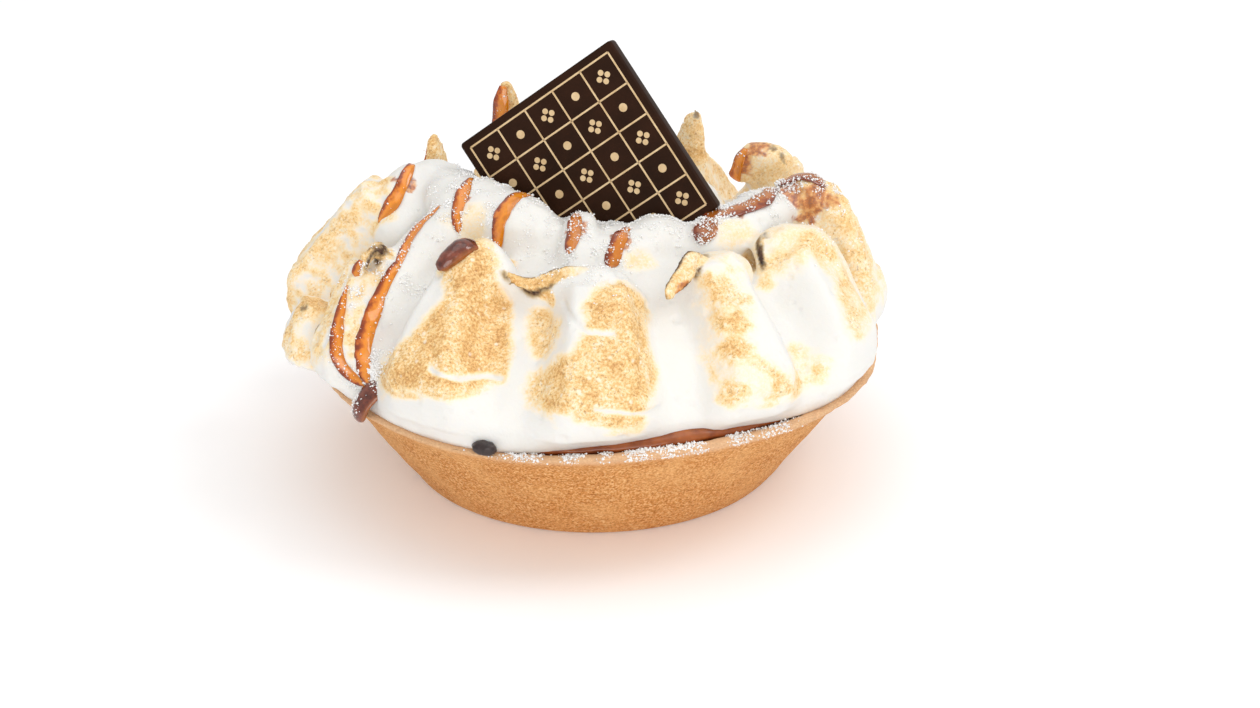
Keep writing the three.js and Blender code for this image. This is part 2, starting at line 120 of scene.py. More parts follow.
# Petals: foot and tip are directions, reach and height place the tip, half and point are the half widths at
# foot and tip, depth stands out of the valleys, curl bends the tip [round, outwards, up], and blend is how
# softly it joins where that is not CURL_BLEND. toast says where the torch has browned the face: [left,
# right] in half widths, [low, high] in shares of the climb, and how much; even is the share that isn't
# patchy. A tip_look browns the curl as well.
PETALS = [
    dict(foot=-121, tip=-132, reach=29.5, height=46.5, half=14, point=7, depth=5.5, curl=(0, -1, -1.5)),
    dict(foot=-88, tip=-88, reach=31, height=45.5, half=14, point=9, depth=5.5, curl=(0, -1, -1.5)),
    dict(foot=-57, tip=-50, reach=30, height=46, half=12, point=7, depth=5.5, curl=(0, -1, -1.5)),
    dict(foot=-31, tip=-18, reach=34.5, height=45, half=14, point=9, depth=5, curl=(0, -1, -1.5)),
    dict(foot=10, tip=9, reach=36, height=47.5, half=14, point=8, depth=4.5, curl=(-3, 1, 0.5),
         toast=(-1.1, 1.0, 0.25, 1.2, 0.55), tip_look="toasted"),
    dict(foot=38, tip=34, reach=36, height=48.5, half=12, point=7, depth=5, curl=(0, -1, -1),
         toast=(-1.0, 1.0, 0.35, 1.2, 0.6), even=0.4),
    dict(foot=65, tip=58, reach=31.5, height=46, half=11, point=6, depth=5, curl=(-1, 1, 8),
         toast=(-1.0, 1.0, 0.3, 1.2, 0.75), even=0.3, blend=4, tip_look="toasted"),
    dict(foot=90, tip=88, reach=33, height=49.5, half=13, point=7, depth=5, curl=(0, -1, -1),
         toast=(-0.9, 0.8, 0.2, 1.2, 0.85), even=0.3),
    dict(foot=114, tip=117, reach=33.5, height=48, half=11, point=6, depth=5, curl=(1, 1, 10),
         toast=(-1.0, 0.9, 0.3, 1.2, 0.8), even=0.3, blend=4, tip_look="toasted"),
    dict(foot=146, tip=145, reach=35, height=45.5, half=13, point=5, depth=5, curl=(-1, 1, 5.5),
         toast=(-0.9, 0.9, 0.25, 1.2, 0.75), even=0.3, blend=4, tip_look="toasted"),
    dict(foot=176, tip=169, reach=35, height=49, half=14, point=8, depth=7.5, curl=(-3, -1, 0),
         toast=(-1.1, 1.0, 0.1, 1.2, 0.7)),
    dict(foot=-165, tip=-166, reach=44, height=34, half=9, point=6, depth=6, curl=(0, 1, 1),
         toast=(-1.0, 1.0, 0.3, 1.4, 0.85), tip_look="toasted"),
    dict(foot=-149, tip=-158, reach=38, height=43.5, half=9, point=5, depth=4.5, curl=(0, -1, -1),
         toast=(-1.0, 1.0, 0.3, 1.3, 0.7)),
]
CURL_ROOT_OUT = 1
CURL_ROOT = 4
CURL_NECK_SHARE = 0.7
CURL_END_SHARE = 0.5
CURL_END_LARGEST = 2
CURL_FLATNESS = 0.7
CURL_UPTURN = 0.5
CURL_BEADS = 26
CURL_BLEND = 1.6
END_ROUNDNESS = 4
SMALLEST_BEAD = 0.05

# Lumps of the crown and behind the petals: start, end and half width
LUMPS = [
    ((-26, 3, 46.5), (-8, -10, 44.5), 6.5),
    ((-3, -21, 41), (-1.8, -10, 47.5), 3),
    ((1, -15, 42), (13, -9, 44), 5.5),
    ((17, -13, 43), (32, 4, 44.5), 5.5),
    ((-16, 17, 41.5), (-3, 21, 43), 6),
    ((6, 18, 42.5), (20, 11, 41), 6),
    ((-37, -19, 35), (-23, -4, 46), 5),
    ((-30, 13, 46.2), (-22.5, 4.5, 46), 5),
    ((-35.5, -0.5, 40.5), (-28.5, 8, 44.5), 4.5),
]
LUMP_FLATNESS = 0.8
LUMP_BEADS = 30
LUMP_BLEND = 2.5

# Crests of the petals: routes along their upper edges, half widths, and how much the torch has browned them
CRESTS = [
    ([(-23, -24.5, 44.6), (-18.2, -21.5, 46.4), (-15.3, -22.5, 44.6), (-13.5, -25, 42)], 2.4, 0),
    ([(-4, -28.5, 44), (-0.3, -28, 44.5), (3.8, -28, 43.8), (7, -28.5, 41)], 2.3, 0),
    ([(-9.5, -25.5, 41.5), (-6.5, -26.5, 42.3), (-3, -28, 42.5)], 2.6, 0),
    ([(18.6, -23.5, 44.4), (21.2, -22.5, 44.7), (24, -21.5, 43.6), (25.4, -21.5, 41.8)], 2.2, 0.3),
    ([(28.6, -12.2, 44), (31.3, -11, 44.9), (35.9, -9, 44.5), (39.2, -8.3, 41.9), (42, -9.3, 37.2),
     (45, -14, 30)], 2.2, 0.35),
    ([(28.7, -12.3, 43.5), (29.2, -15, 40.3), (29, -17, 38.2)], 1.3, 0.6),
    ([(31.5, 6.5, 45.8), (35.7, 5.5, 47), (39.5, 4.5, 47), (41.8, 3.3, 44.8), (45, 1.5, 37.5),
     (47.5, -1.5, 30)], 2.3, 0.7),
    ([(25.5, 19.5, 44.3), (27.7, 20, 48), (32, 19.5, 48.4), (34.3, 18.5, 46.8)], 2.4, 0.6),
    ([(-48.5, -1, 30.5), (-47, 2.5, 34.2), (-42.8, 4.5, 40), (-37.9, 6.5, 45.2), (-31.8, 9.5, 46.6),
     (-29, 12, 48)], 2.4, 0.4),
    ([(4, 34.5, 43.5), (2, 33.5, 46.4), (-1.5, 33.5, 46.8), (-4, 35, 44)], 2.5, 0.7),
]
CREST_BEADS = 40
CREST_BLEND = 4

# Small curled ends at the petals' tips, with half widths at both ends: a burnt tip on the last petal, two
# ribbons beside the second one, the hook of the third one and a burnt flake on the fourth one
FLAPS = [
    dict(route=[(-38.6, -18.6, 41.2), (-37.6, -16.8, 43.4), (-36, -15.2, 44), (-34.6, -15, 43)],
         half=(2, 1.7), look="edged"),
    dict(route=[(-1.4, -29, 46), (-4.8, -28.4, 45.2), (-7.5, -28, 44.2), (-9.8, -27.6, 43.1),
         (-12, -26.8, 43.4), (-13.8, -25.6, 44.7)], half=(1.7, 1), look="edged"),
    dict(route=[(-8.2, -28.2, 43), (-6.7, -29.3, 42.2), (-5.1, -30.6, 41.2)], half=(1.1, 0.7),
         look="toasted"),
    dict(route=[(18.6, -24, 44.8), (16.3, -25.5, 46.4), (14.9, -28, 45.2), (13, -30.6, 43.6),
         (12.2, -32, 42.6)], half=(2, 1.6), look="edged"),
    dict(route=[(28.6, -12.2, 45.6), (28.2, -13.4, 43.5), (28.7, -15.5, 41)], half=(0.8, 0.4),
         look="burnt"),
]
FLAP_UPTURN = 0.5
FLAP_BEADS = 40
FLAP_FLATNESS = 0.5
FLAP_BLEND = 0.8

# The meringue's surface as it is drawn through the field
SKIRT_ROUNDING = 1.2
SKIRT_SINK = 0.9
VOXEL = 0.5
FIELD_MARGIN = 3
FIELD_TOP = 62

# Fine relief of the meringue: waves of [size, depth on the petals, more on the crown], ridges along the
# petals, and burst bubbles
SKIRT_FADE = (0.2, 1.2)
PLAQUE_FADE = (0.1, 0.8)
CROWN_CLIMBS = (36, 46)
RELIEF_WAVES = [(7, 0.3, 0.4), (2.6, 0.12, 0.3)]
RIDGE_WIDTH = 2.6
RIDGE_BREAKS = 2
RIDGE_LIFT = 5
TORCHED_RIDGE = 0.5
WHITE_RIDGE = 0.15
CLUMP_WAVES = [(1.5, 12, 1)]
CLUMP_DEPTH = 0.25
LEAST_LIFT = 0.1
PETALS_APART = 5.3
PIT_COUNT = 2600
PIT_SIZES = (0.5, 1.1)
PIT_DEPTH = 0.4
PIT_CHANCE = 0.05

# Where the torch has browned the petals that the photo shows best: closed outlines of [direction, climb
# above the horizon] seen from the core, how much they are browned, how broken up that is, and the folds
# that stayed white
CORE_HEIGHT = 24
DOME_RADIUS = 44
TOASTED = [
    dict(outline=[(-136, 30), (-139, 39), (-130, 42), (-123, 38), (-120, 31), (-115, 26), (-110, 18),
         (-109, 14), (-110, 10), (-115, 8), (-122, 7), (-131, 5), (-138, 5), (-140, 8), (-133, 13),
         (-129, 20), (-130, 27)], strength=1.0),
    dict(outline=[(-110, 27), (-104, 27), (-98, 25), (-97, 21), (-100, 17), (-105, 16)], strength=0.75),
    dict(outline=[(-92, 28), (-90, 32), (-84, 34), (-77, 33), (-73, 29), (-74, 24), (-76, 17), (-75, 12),
         (-78, 8), (-81, 3), (-87, 4), (-94, 6), (-102, 7), (-104, 11), (-98, 16), (-92, 22)],
         strength=0.9),
    dict(outline=[(-57, 33), (-61, 21), (-64, 11), (-63, 6), (-54, 4), (-42, 3), (-38, 7), (-39, 11),
         (-46, 9), (-52, 11), (-54, 15), (-51, 20), (-47, 27), (-45, 31), (-50, 33)], strength=0.85,
         broken=0.75),
    dict(outline=[(-22, 34), (-17, 31), (-12, 26), (-13, 18), (-20, 11), (-27, 8), (-31, 11), (-27, 16),
         (-22, 21), (-23, 26), (-29, 24), (-29, 29)], strength=0.75, broken=0.5),
    dict(outline=[(23, 31), (24, 37), (31, 39), (40, 38), (43, 33), (36, 29), (28, 28)], strength=0.6),
    dict(outline=[(-73, 48), (-63, 48), (-58, 41), (-68, 40), (-75, 43)], strength=0.4),
    dict(outline=[(-26, 45), (-18, 41), (-18, 35), (-29, 35), (-35, 39)], strength=0.35),
    dict(outline=[(-164, 49), (-157, 53), (-149, 46), (-154, 40), (-162, 41)], strength=0.3),
]
OUTLINE_POINTS = 90
OUTLINE_WANDER = [[(4, 9, 1.2), (1.3, 5, 0.7)], [(4, 31, 1.2), (1.3, 17, 0.7)]]
OUTLINE_FADE = (-1, 1.8)
STREAK_WIDTH = 5
STREAK_SIZE = 1.1
STREAK_CLIMBS = (6, 14)
STREAK_LENGTH = 1.6
FACE_WAVES = [(3.5, 21, 1), (1.2, 2, 0.4)]
FACE_FADE = (-0.4, 0.3)
FOLDS = [
    [(-122, 12.5), (-117, 11.5), (-110, 11)],
    [(-98, 29), (-92, 23), (-88, 22), (-85, 22)],
    [(-89, 8), (-83, 7), (-76, 6)],
]
FOLD_FADE = (0.15, 0.7)
FOLD_DEPTH = 0.4
FOLD_CALM = 4

# Browning of the other petals, across their sides and along their climb
PETAL_WANDER = [(6, 0, 0.2), (2.2, 0, 0.12)]
SIDE_FADE = 0.16
END_FADE = 0.1
CLUMP_SHARE = 0.6
TORCH_FADE = (-0.45, 0.35)

# Browning and burning of the crests, curls and flaps, and burnt specks
CREST_WANDER = [(2.5, 6, 0.8), (0.9, 2, 0.4)]
CREST_FADE = (0.1, 1.6)
CURL_REACH = 16
CURL_SHARES = (0.1, 0.5)
FLAP_SHARES = (-0.1, 0.3)
TIP_FADE = (0.4, 1.2)
TIP_TOAST = 0.85
EDGE_SHARES = (0.75, 0.95)
EDGE_PATCHES = (2.2, 0, -0.6, -0.1)
END_SHARES = (0.9, 1)
END_BURN = 0.8
BURNT_SHARES = (0.3, 0.7)
BURN_PATCHES = (1.5, 0, -0.2, 0.5)
SPECKS = [
    (-49, -14, 33), (-36.2, -16.6, 44.6), (-34.8, -16.2, 43.8), (-46, -20, 32), (28.4, -12.5, 46),
    (32, 18.5, 50.5), (33.5, 17.5, 48.5), (-16, 29.5, 59.5), (18.5, 26, 54),
]
SPECK_WAVES = [(0.8, 0, 0.9)]
SPECK_FADE = (0.4, 1.2)
SPECK_BURN = 0.7

# Caramel: routes on the meringue, half widths, how dark each thread is, and its height and sugar where
# they are not as usual. Threads that face a given way hang free: the thick glazed end of the front left
# petal and the drop that ran over the rim.
CARAMEL = [
    dict(route=[(-18.4, -21, 47.8), (-20.5, -23, 48), (-23, -25, 46.8), (-24.9, -26.5, 45.2)], half=2.1,
         dark=1, height=0.75, facing=(-0.4, -0.6, 0.7), sugar=0),
    dict(route=[(-34, -31.7, 28), (-36.1, -33.1, 26.2), (-37.7, -33.9, 24), (-38.2, -33.8, 21.4)], half=2,
         dark=1, height=0.45, facing=(-0.75, -0.66, 0), sugar=8),
    dict(route=[(-41, -20, 40), (-42, -24, 35), (-42, -28, 30), (-38.5, -31.5, 27)], half=1.1, dark=0.1),
    dict(route=[(-26, -5, 48), (-30, -10, 45), (-33, -18, 41)], half=0.9, dark=0.1),
    dict(route=[(-32.5, -16.5, 42), (-36, -21, 36), (-38, -27, 30), (-36.5, -31, 27)], half=1.6, dark=0),
    dict(route=[(-32, 9, 50), (-33, 5, 49), (-35, 2, 44), (-36, 1, 42)], half=1.4, dark=0),
    dict(route=[(-21, 0, 51), (-22, -4, 51), (-23, -7, 49), (-23, -10, 45)], half=1.1, dark=0.1),
    dict(route=[(-10, -2, 50), (-12, -5, 50), (-15, -10, 48), (-16.5, -13, 43)], half=1.4, dark=0),
    dict(route=[(-3, -9, 49), (-3, -15, 47), (-4, -19, 45)], half=1.2, dark=0.3),
    dict(route=[(6, -13, 47), (4, -17, 46), (3, -20, 43)], half=1.4, dark=0.3),
    dict(route=[(21, -4, 48), (19, -12, 47), (18, -15, 45)], half=1.8, dark=0.7),
    dict(route=[(18, -11, 48), (23, -7, 47.4), (28, -3, 46), (30, 1, 46), (31, 5, 48)], half=1.7, dark=0.5),
    dict(route=[(31, 6, 48.6), (35.7, 5, 49), (40, 3.5, 48)], half=1.6, dark=0.6),
    dict(route=[(27, 19, 49.5), (25, 18, 46.5), (23.6, 17.5, 42.6)], half=1.7, dark=0),
    dict(route=[(-17.3, 28, 58.5), (-17.3, 27.5, 55), (-18, 27.5, 51), (-18, 27, 48)], half=1.7, dark=0),
    dict(route=[(0.5, 35.5, 50), (0, 39, 46), (-2, 42, 40)], half=1.1, dark=0.1),
    dict(route=[(-31, 22, 49), (-32.5, 23, 45), (-35, 25, 39)], half=1.1, dark=0.1),
    dict(route=[(-38.6, -18, 43.4), (-39.2, -18.6, 42.3), (-39.4, -19.2, 41)], half=0.9, dark=0.2, sugar=0),
]
STRAND_STEP = 0.5
STRAND_LEAST = 8
STRAND_SIDES = 16
STRAND_HEIGHT = 0.2
STRAND_FLOAT = 0.12
STRAND_LIFT = 0.25
STRAND_ROUNDNESS = 8
PLUMP_ROUNDNESS = 3
STRAND_END = 0.01
STRAND_START = 0.35
STRAND_SHARES = (-0.05, 0.4)
STRAND_WAVES = [(3.5, 0, 0.35), (1.2, 0, 0.1)]
STRANDS_APART = 3.7
SETTLE_ROUNDS = 10
SETTLE_SHARE = 0.35
CALM_ROUNDS = 3

# Thin films of syrup that stain the meringue: middle and radius
STAINS = [
    ((14.6, -29.4, 43), 2),
    ((31, 3, 46.5), 3),
    ((34.5, 3.5, 47), 3.6),
    ((38, 2.5, 46.5), 3.4),
    ((36.5, 0.5, 43.5), 2.4),
    ((40.5, 2.5, 46), 2.2),
    ((18.5, -12, 47.5), 2.6),
    ((24, -6.5, 47.5), 2.2),
    ((26, 18, 47.5), 3.2),
    ((29, 18.5, 50), 2.2),
    ((-3, -14, 48), 2.2),
    ((4.5, -16, 46.5), 2.2),
    ((-33, 5, 48.5), 2),
    ((-22.5, -5, 50), 1.8),
]
STAIN_WANDER = [(1.6, 14, 1.4), (0.7, 3, 0.5)]
STAIN_CORE = 0.55

# Burnt sugar bead on the front edge of the skirt; BEAD_CAP, in radians, is left flat at its ends
BEAD_DIRECTION = -110
BEAD_RADIUS = 49.5
BEAD_HEIGHT = 23.1
BEAD_SIZE = (1.3, 2.1, 1.2)
BEAD_WAVES = [(0.9, 0, 0.12)]
BEAD_CAP = 0.06
BEAD_ROWS = 18
BEAD_SIDES = 28

# Chocolate square and its print
PLAQUE_SIDE = 33.5
PLAQUE_THICKNESS = 2.5
PLAQUE_BEVEL = 0.35
PLAQUE_CORNER = 0.7
PLAQUE_CENTRE = (-0.8, 1, 51.5)
PLAQUE_YAW = -18
PLAQUE_LEAN = 10.3
PLAQUE_SPIN = 38.2
CORNER_POINTS = 7
BEVEL_POINTS = 5
PRINT_HEIGHT = 0.05
PRINT_LINE = 0.32
PRINT_CELLS = 5
PRINT_MARGIN = 1.5
PRINT_DOT = 0.75
PRINT_LEAF = 0.85
LEAF_SHARE = 0.6
DISC_SIDES = 20

# Icing sugar: grains about the plaque's foot, on the crown, in spots, on the front of the rim, and on the
# drizzle, where STRAND_SUGAR is for the palest and the darkest threads
GRAIN_COUNT = 19000
GRAIN_SIZES = (0.07, 0.27)
GRAIN_LUMPS = (0.65, 1.2)
GRAIN_SCATTER = 0.3
GRAIN_LIFT = (0.1, 0.9)
SUGAR_SLOPES = (0.1, 0.7)
SUGAR_PATCHES = (2.5, 3, -0.1, 0.35)
SUGAR_GAP = 0.25
FOOT_SUGAR = 9
FOOT_SPREAD = (0.4, 3.5)
CROWN_SUGAR = 1.2
SUGAR_CLIMBS = (38, 50)
SUGAR_SPOTS = [
    dict(direction=-141.5, climb=4, spread=2.6, weight=30),
    dict(direction=-152, climb=22, spread=3.5, weight=5),
    dict(direction=-160, climb=45, spread=7, weight=3),
    dict(direction=5, climb=34, spread=8, weight=4),
    dict(direction=-95, climb=46, spread=7, weight=4),
]
CARAMEL_GRAINS = 2000
STRAND_SUGAR = (0.1, 2.1)
STRAND_SLOPES = (-0.1, 0.4)
STRAND_PATCHES = (1.8, 4, -0.1, 0.3)
RIM_GRAINS = 2800
RIM_SUGAR = (-108, -50)
RIM_SUGAR_FADE = 8
RIM_PATCHES = (3, 8, -0.4, 0.25)
RIM_TOP = 1

# Camera: 36 mm wide film behind a long lens, a little above the table
IMAGE_WIDTH = 1260
FOCAL_PIXELS = 2400
SENSOR = 36
CAMERA_PLACE = (6.2, -385.7, 195.4)
CAMERA_PITCH = 24.69
CLIP_START = 10

# Studio, in metres: the floor, and lights as name, place, size and power in watts
FLOOR_SIZE = 4
FLOOR_GLOW = 0.09
WORLD_LIGHT = 0.78
EXPOSURE = -0.13
LIGHT_AIM = (0, 0, 0.03)
LIGHTS = [
    ("key", (0.6, 0.0, 0.8), 0.4, 2.2),
    ("fill", (0.1, -1.1, 0.4), 0.8, 5.2),
    ("top", (0.0, 0.2, 1.5), 1.2, 4.3),
]


def lerp(a, b, t):
    return a + (b - a) * t


def smoothstep(x, low, high):
    t = np.clip((x - low) / (high - low), 0, 1)
    return t * t * (3 - 2 * t)


def window(x, low, high, soft):
    """1 between low and high, fading to 0 over soft on either side"""
    return smoothstep(x, low - soft, low + soft) * (1 - smoothstep(x, high - soft, high + soft))


def polar(direction, radius, height):
    angle = math.radians(direction)
    return np.array([radius * math.cos(angle), radius * math.sin(angle), height])


def direction_of(points):
    """Which way points lie from the upright axis"""
    return np.degrees(np.arctan2(points[..., 1], points[..., 0]))


def radius_of(points):
    return np.hypot(points[..., 0], points[..., 1])


def distance_to(place, points):
    return np.linalg.norm(points - place, axis=1)


def turn_between(start, end):
    return (end - start + 180) % 360 - 180


def swell(direction, centre, spread):
    turn = np.clip(turn_between(centre, direction) / spread, -1, 1)
    return np.cos(turn * math.pi / 2) ** 2


def unit(vector):
    return vector / np.linalg.norm(vector)


def unit_rows(vectors):
    return vectors / np.maximum(np.linalg.norm(vectors, axis=-1, keepdims=True), TINY)


def ripple(points, size, shift=0.0):
    """Smooth noise between -1 and 1 with features of about that size"""
    scaled = np.asarray(points, float) / size + shift
    return np.array([noise.noise(p) for p in scaled.tolist()])


def ripples(points, waves, moved=0.0):
    """Noise added up from waves of [size, shift, amount]"""
    return sum(amount * ripple(points, size, shift + moved) for size, shift, amount in waves)


def patches(points, size, shift, low, high):
    """Soft patches: 0 where the noise is low, 1 where it is high"""
    return smoothstep(ripple(points, size, shift), low, high)


def seeded_choice(weight, count):
    """Seeded places, more of them where the weight is high"""
    return rng.choice(len(weight), count, p=weight / weight.sum())


def mostly_small(smallest, largest, count):
    """Seeded sizes with few large ones among them"""
    return lerp(smallest, largest, rng.random(count) ** 3)


def smooth_curve(points, per_span=40):
    """Dense points of a smooth curve through the given ones"""
    points = np.asarray(points, float)
    padded = np.vstack([points[:1], points, points[-1:]])
    t = np.linspace(0, 1, per_span, endpoint=False)[:, None]
    spans = []
    for a, b, c, d in zip(padded, padded[1:], padded[2:], padded[3:]):
        square = (2 * a - 5 * b + 4 * c - d) * t**2
        cube = (3 * b - a - 3 * c + d) * t**3
        spans.append(b + ((c - a) * t + square + cube) / 2)
    return np.vstack([*spans, points[-1:]])


def step_lengths(points):
    return np.linalg.norm(np.diff(points, axis=0), axis=1)


def route_length(points):
    return step_lengths(points).sum()


def evenly(points, count):
    """The same route with that many points at equal steps"""
    along = np.concatenate([[0], np.cumsum(step_lengths(points))])
    wanted = np.linspace(0, along[-1], count)
    return np.column_stack([np.interp(wanted, along, column) for column in points.T])


def curve_points(route, count):
    """That many points at equal steps of a smooth curve through the route"""
    return evenly(smooth_curve(route), count)


def circle(sides):
    """Points round a circle of radius 1, as two rows of numbers"""
    angles = np.arange(sides) * 2 * math.pi / sides
    return np.cos(angles), np.sin(angles)


def quarter(count):
    """Angles of points round a quarter of a circle"""
    return np.radians(np.linspace(0, 90, count))


def tube_faces(rows, columns):
    """Quads of a grid that closes round its columns, and then a face over its first and its last row"""
    row, column = np.meshgrid(np.arange(rows - 1), np.arange(columns), indexing="ij")
    here, after = row * columns, (row + 1) * columns
    beside = (column + 1) % columns
    corners = [here + column, here + beside, after + beside, after + column]
    quads = np.stack(corners, axis=-1).reshape(-1, 4).tolist()
    return quads + [list(range(columns))[::-1], list(range((rows - 1) * columns, rows * columns))]


def joined(meshes):
    points, faces, start = [], [], 0
    for more, sides in meshes:
        points.append(more)
        faces += [[start + k for k in side] for side in sides]
        start += len(more)
    return np.vstack(points), faces


def make_piece(name, points, faces, material, values=None, smooth=True):
    """A piece that rides on the tart, from points in millimetres, with a number per point for each value"""
    mesh = bpy.data.meshes.new(name)
    faces = faces if isinstance(faces, list) else faces.tolist()
    mesh.from_pydata((np.asarray(points) * MM).tolist(), [], faces)
    mesh.update()
    for key, numbers in (values or {}).items():
        attribute = mesh.attributes.new(key, "FLOAT", "POINT")
        attribute.data.foreach_set("value", np.asarray(numbers, np.float32))
    mesh.polygons.foreach_set("use_smooth", np.full(len(mesh.polygons), smooth))
    mesh.materials.append(material)
    piece = bpy.data.objects.new(name, mesh)
    bpy.context.scene.collection.objects.link(piece)
    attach(piece, BODY)
    return piece


def normals_of(points, faces):
    """Point normals of a mesh of quads or triangles"""
    corners = points[faces]
    face_normals = np.cross(corners[:, 2] - corners[:, 0], corners[:, -1] - corners[:, 1])
    total = np.zeros_like(points)
    for k in range(faces.shape[1]):
        np.add.at(total, faces[:, k], face_normals)
    return unit_rows(total)


# Meringue as a field that is negative inside

profile = curve_points(MOUND_PROFILE, PROFILE_POINTS)
profile_slope = unit_rows(np.gradient(profile, axis=0))
profile_normal = np.column_stack([profile_slope[:, 1], -profile_slope[:, 0]])


def valley_at(radius):
    index = int(np.argmax(profile[:, 0] <= radius))
    return index / (PROFILE_POINTS - 1), profile[index, 1]


def profile_table():
    """For each radius and height: the share of the way up the profile, and the distance out from it"""
    radius, height = np.meshgrid(TABLE_RADII, TABLE_HEIGHTS, indexing="ij")
    offset = np.stack([radius, height], axis=-1)[:, :, None, :] - profile
    nearest = np.argmin((offset**2).sum(axis=-1), axis=-1)
    chosen = np.take_along_axis(offset, nearest[..., None, None], axis=2)[:, :, 0]
    distance = (chosen * profile_normal[nearest]).sum(axis=-1)
    return nearest / (PROFILE_POINTS - 1), distance


share_table, distance_table = profile_table()


def looked_up(table, radius, height):
    u = np.clip(radius / TABLE_STEP, 0, len(TABLE_RADII) - TABLE_EDGE)
    v = np.clip((height - TABLE_HEIGHTS[0]) / TABLE_STEP, 0, len(TABLE_HEIGHTS) - TABLE_EDGE)
    i, j = u.astype(int), v.astype(int)
    s, t = u - i, v - j
    low = lerp(table[i, j], table[i + 1, j], s)
    high = lerp(table[i, j + 1], table[i + 1, j + 1], s)
    return lerp(low, high, t)


def petal_frame(petal, direction, share, radius):
    """Where a point lies on a petal: half widths to the right of its middle, and shares of the climb"""
    valley_share, _ = valley_at(petal["reach"])
    climb = share / valley_share
    climbed = np.clip(climb, 0, 1)
    half_width = lerp(petal["point"], petal["half"], (1 - climbed) ** PETAL_TAPER)
    turn = turn_between(lerp(petal["foot"], petal["tip"], climbed), direction)
    return np.radians(turn) * radius / half_width, climb


def petal_lift(petal, across, climb):
    _, valley_height = valley_at(petal["reach"])
    side = 1 - smoothstep(np.abs(across), PETAL_EDGE, 1)
    along = smoothstep(climb, 0, PETAL_RISE) * (1 - smoothstep(climb, 1, 1 + PETAL_DROP))
    top = max(petal["depth"], petal["height"] - valley_height)
    return lerp(petal["depth"], top, np.clip(climb, 0, 1) ** 2) * side * along


def overhang(direction, share):
    setback = swell(direction, SETBACK_DIRECTION, SETBACK_SPREAD)
    return lerp(OVERHANG, -SETBACK_DEPTH, setback) * (1 - smoothstep(share, 0, OVERHANG_TOP))


def rim_wave(direction, height):
    wave = np.cos(RIM_WAVES * np.radians(direction - RIM_WAVE_START))
    return RIM_WAVE_HEIGHT * wave * (height / RIM_HEIGHT) ** 2


def skirt_bed(direction):
    """Height of the skirt's underside, a little below the rim"""
    return MOUND_BASE - SKIRT_SINK - rim_wave(direction, MOUND_BASE)


def mound_place(points):
    """Direction, share of the way up the profile, profile radius and distance out of the profile"""
    share = looked_up(share_table, radius_of(points), points[..., 2])
    distance = looked_up(distance_table, radius_of(points), points[..., 2])
    base_radius = np.interp(share, np.linspace(0, 1, PROFILE_POINTS), profile[:, 0])
    return direction_of(points), share, base_radius, distance


def mound_field(points):
    direction, share, base_radius, distance = mound_place(points)
    total = np.zeros_like(distance)
    for petal in PETALS:
        across, climb = petal_frame(petal, direction, share, base_radius)
        total += petal_lift(petal, across, climb) ** PETAL_MERGE
    return distance - total ** (1 / PETAL_MERGE) - overhang(direction, share)


def chain(route, half, outward, flatness):
    """A row of flattened beads along a route, with round ends"""
    rounded = half * np.sqrt(1 - np.linspace(-1, 1, len(route)) ** END_ROUNDNESS)
    tangents = np.gradient(route, axis=0)
    half = np.maximum(rounded, SMALLEST_BEAD)
    return dict(route=route, half=half, tangents=tangents, outward=outward, flatness=flatness)


def curl_beads(petal):
    """The curled tip of a petal"""
    tip, reach, height, point = petal["tip"], petal["reach"], petal["height"], petal["point"]
    round_axis, out, up = petal["curl"]
    root = polar(tip, reach + CURL_ROOT_OUT, height - CURL_ROOT - point / 2)
    neck = polar(tip, reach, height - point / 2)
    end = polar(tip, reach + out, height + up) + round_axis * polar(tip + 90, 1, 0)
    share = np.linspace(0, 1, CURL_BEADS)
    half = lerp(point * CURL_NECK_SHARE, min(point * CURL_END_SHARE, CURL_END_LARGEST), share)
    route = curve_points([root, neck, end], CURL_BEADS)
    return chain(route, half, polar(tip, 1, CURL_UPTURN), CURL_FLATNESS)


def lump_beads(start, end, half):
    return chain(np.linspace(start, end, LUMP_BEADS), half, UPWARD, LUMP_FLATNESS)


def crest_beads(route, half):
    return chain(curve_points(route, CREST_BEADS), half, UPWARD, LUMP_FLATNESS)


def flap_beads(flap):
    route = curve_points(flap["route"], FLAP_BEADS)
    half = lerp(*flap["half"], np.linspace(0, 1, FLAP_BEADS))
    outward = unit(route.mean(axis=0) * (1, 1, 0)) + FLAP_UPTURN * UPWARD
    return chain(route, half, outward, FLAP_FLATNESS)


def chain_distance(beads, points):
    """Distance to a chain of beads, the share of the way along it, and half widths to its side"""
    best = np.full(points.shape[:-1], FAR)
    share = np.zeros(points.shape[:-1])
    sideways = np.zeros(points.shape[:-1])
    for k, (centre, half, tangent) in enumerate(zip(beads["route"], beads["half"], beads["tangents"])):
        side = unit(np.cross(tangent, beads["outward"]))
        depth = unit(np.cross(side, tangent))
        offset = points - centre
        flat = (offset @ depth) / beads["flatness"]
        rest = offset - (offset @ depth)[..., None] * depth
        distance = np.sqrt((rest**2).sum(axis=-1) + flat**2) - half
        closer = distance < best
        best = np.where(closer, distance, best)
        share = np.where(closer, k / (len(beads["route"]) - 1), share)
        sideways = np.where(closer, offset @ side / half, sideways)
    return best, share, sideways


def smooth_least(a, b, blend):
    h = np.clip(0.5 + 0.5 * (b - a) / blend, 0, 1)
    return lerp(b, a, h) - blend * h * (1 - h)


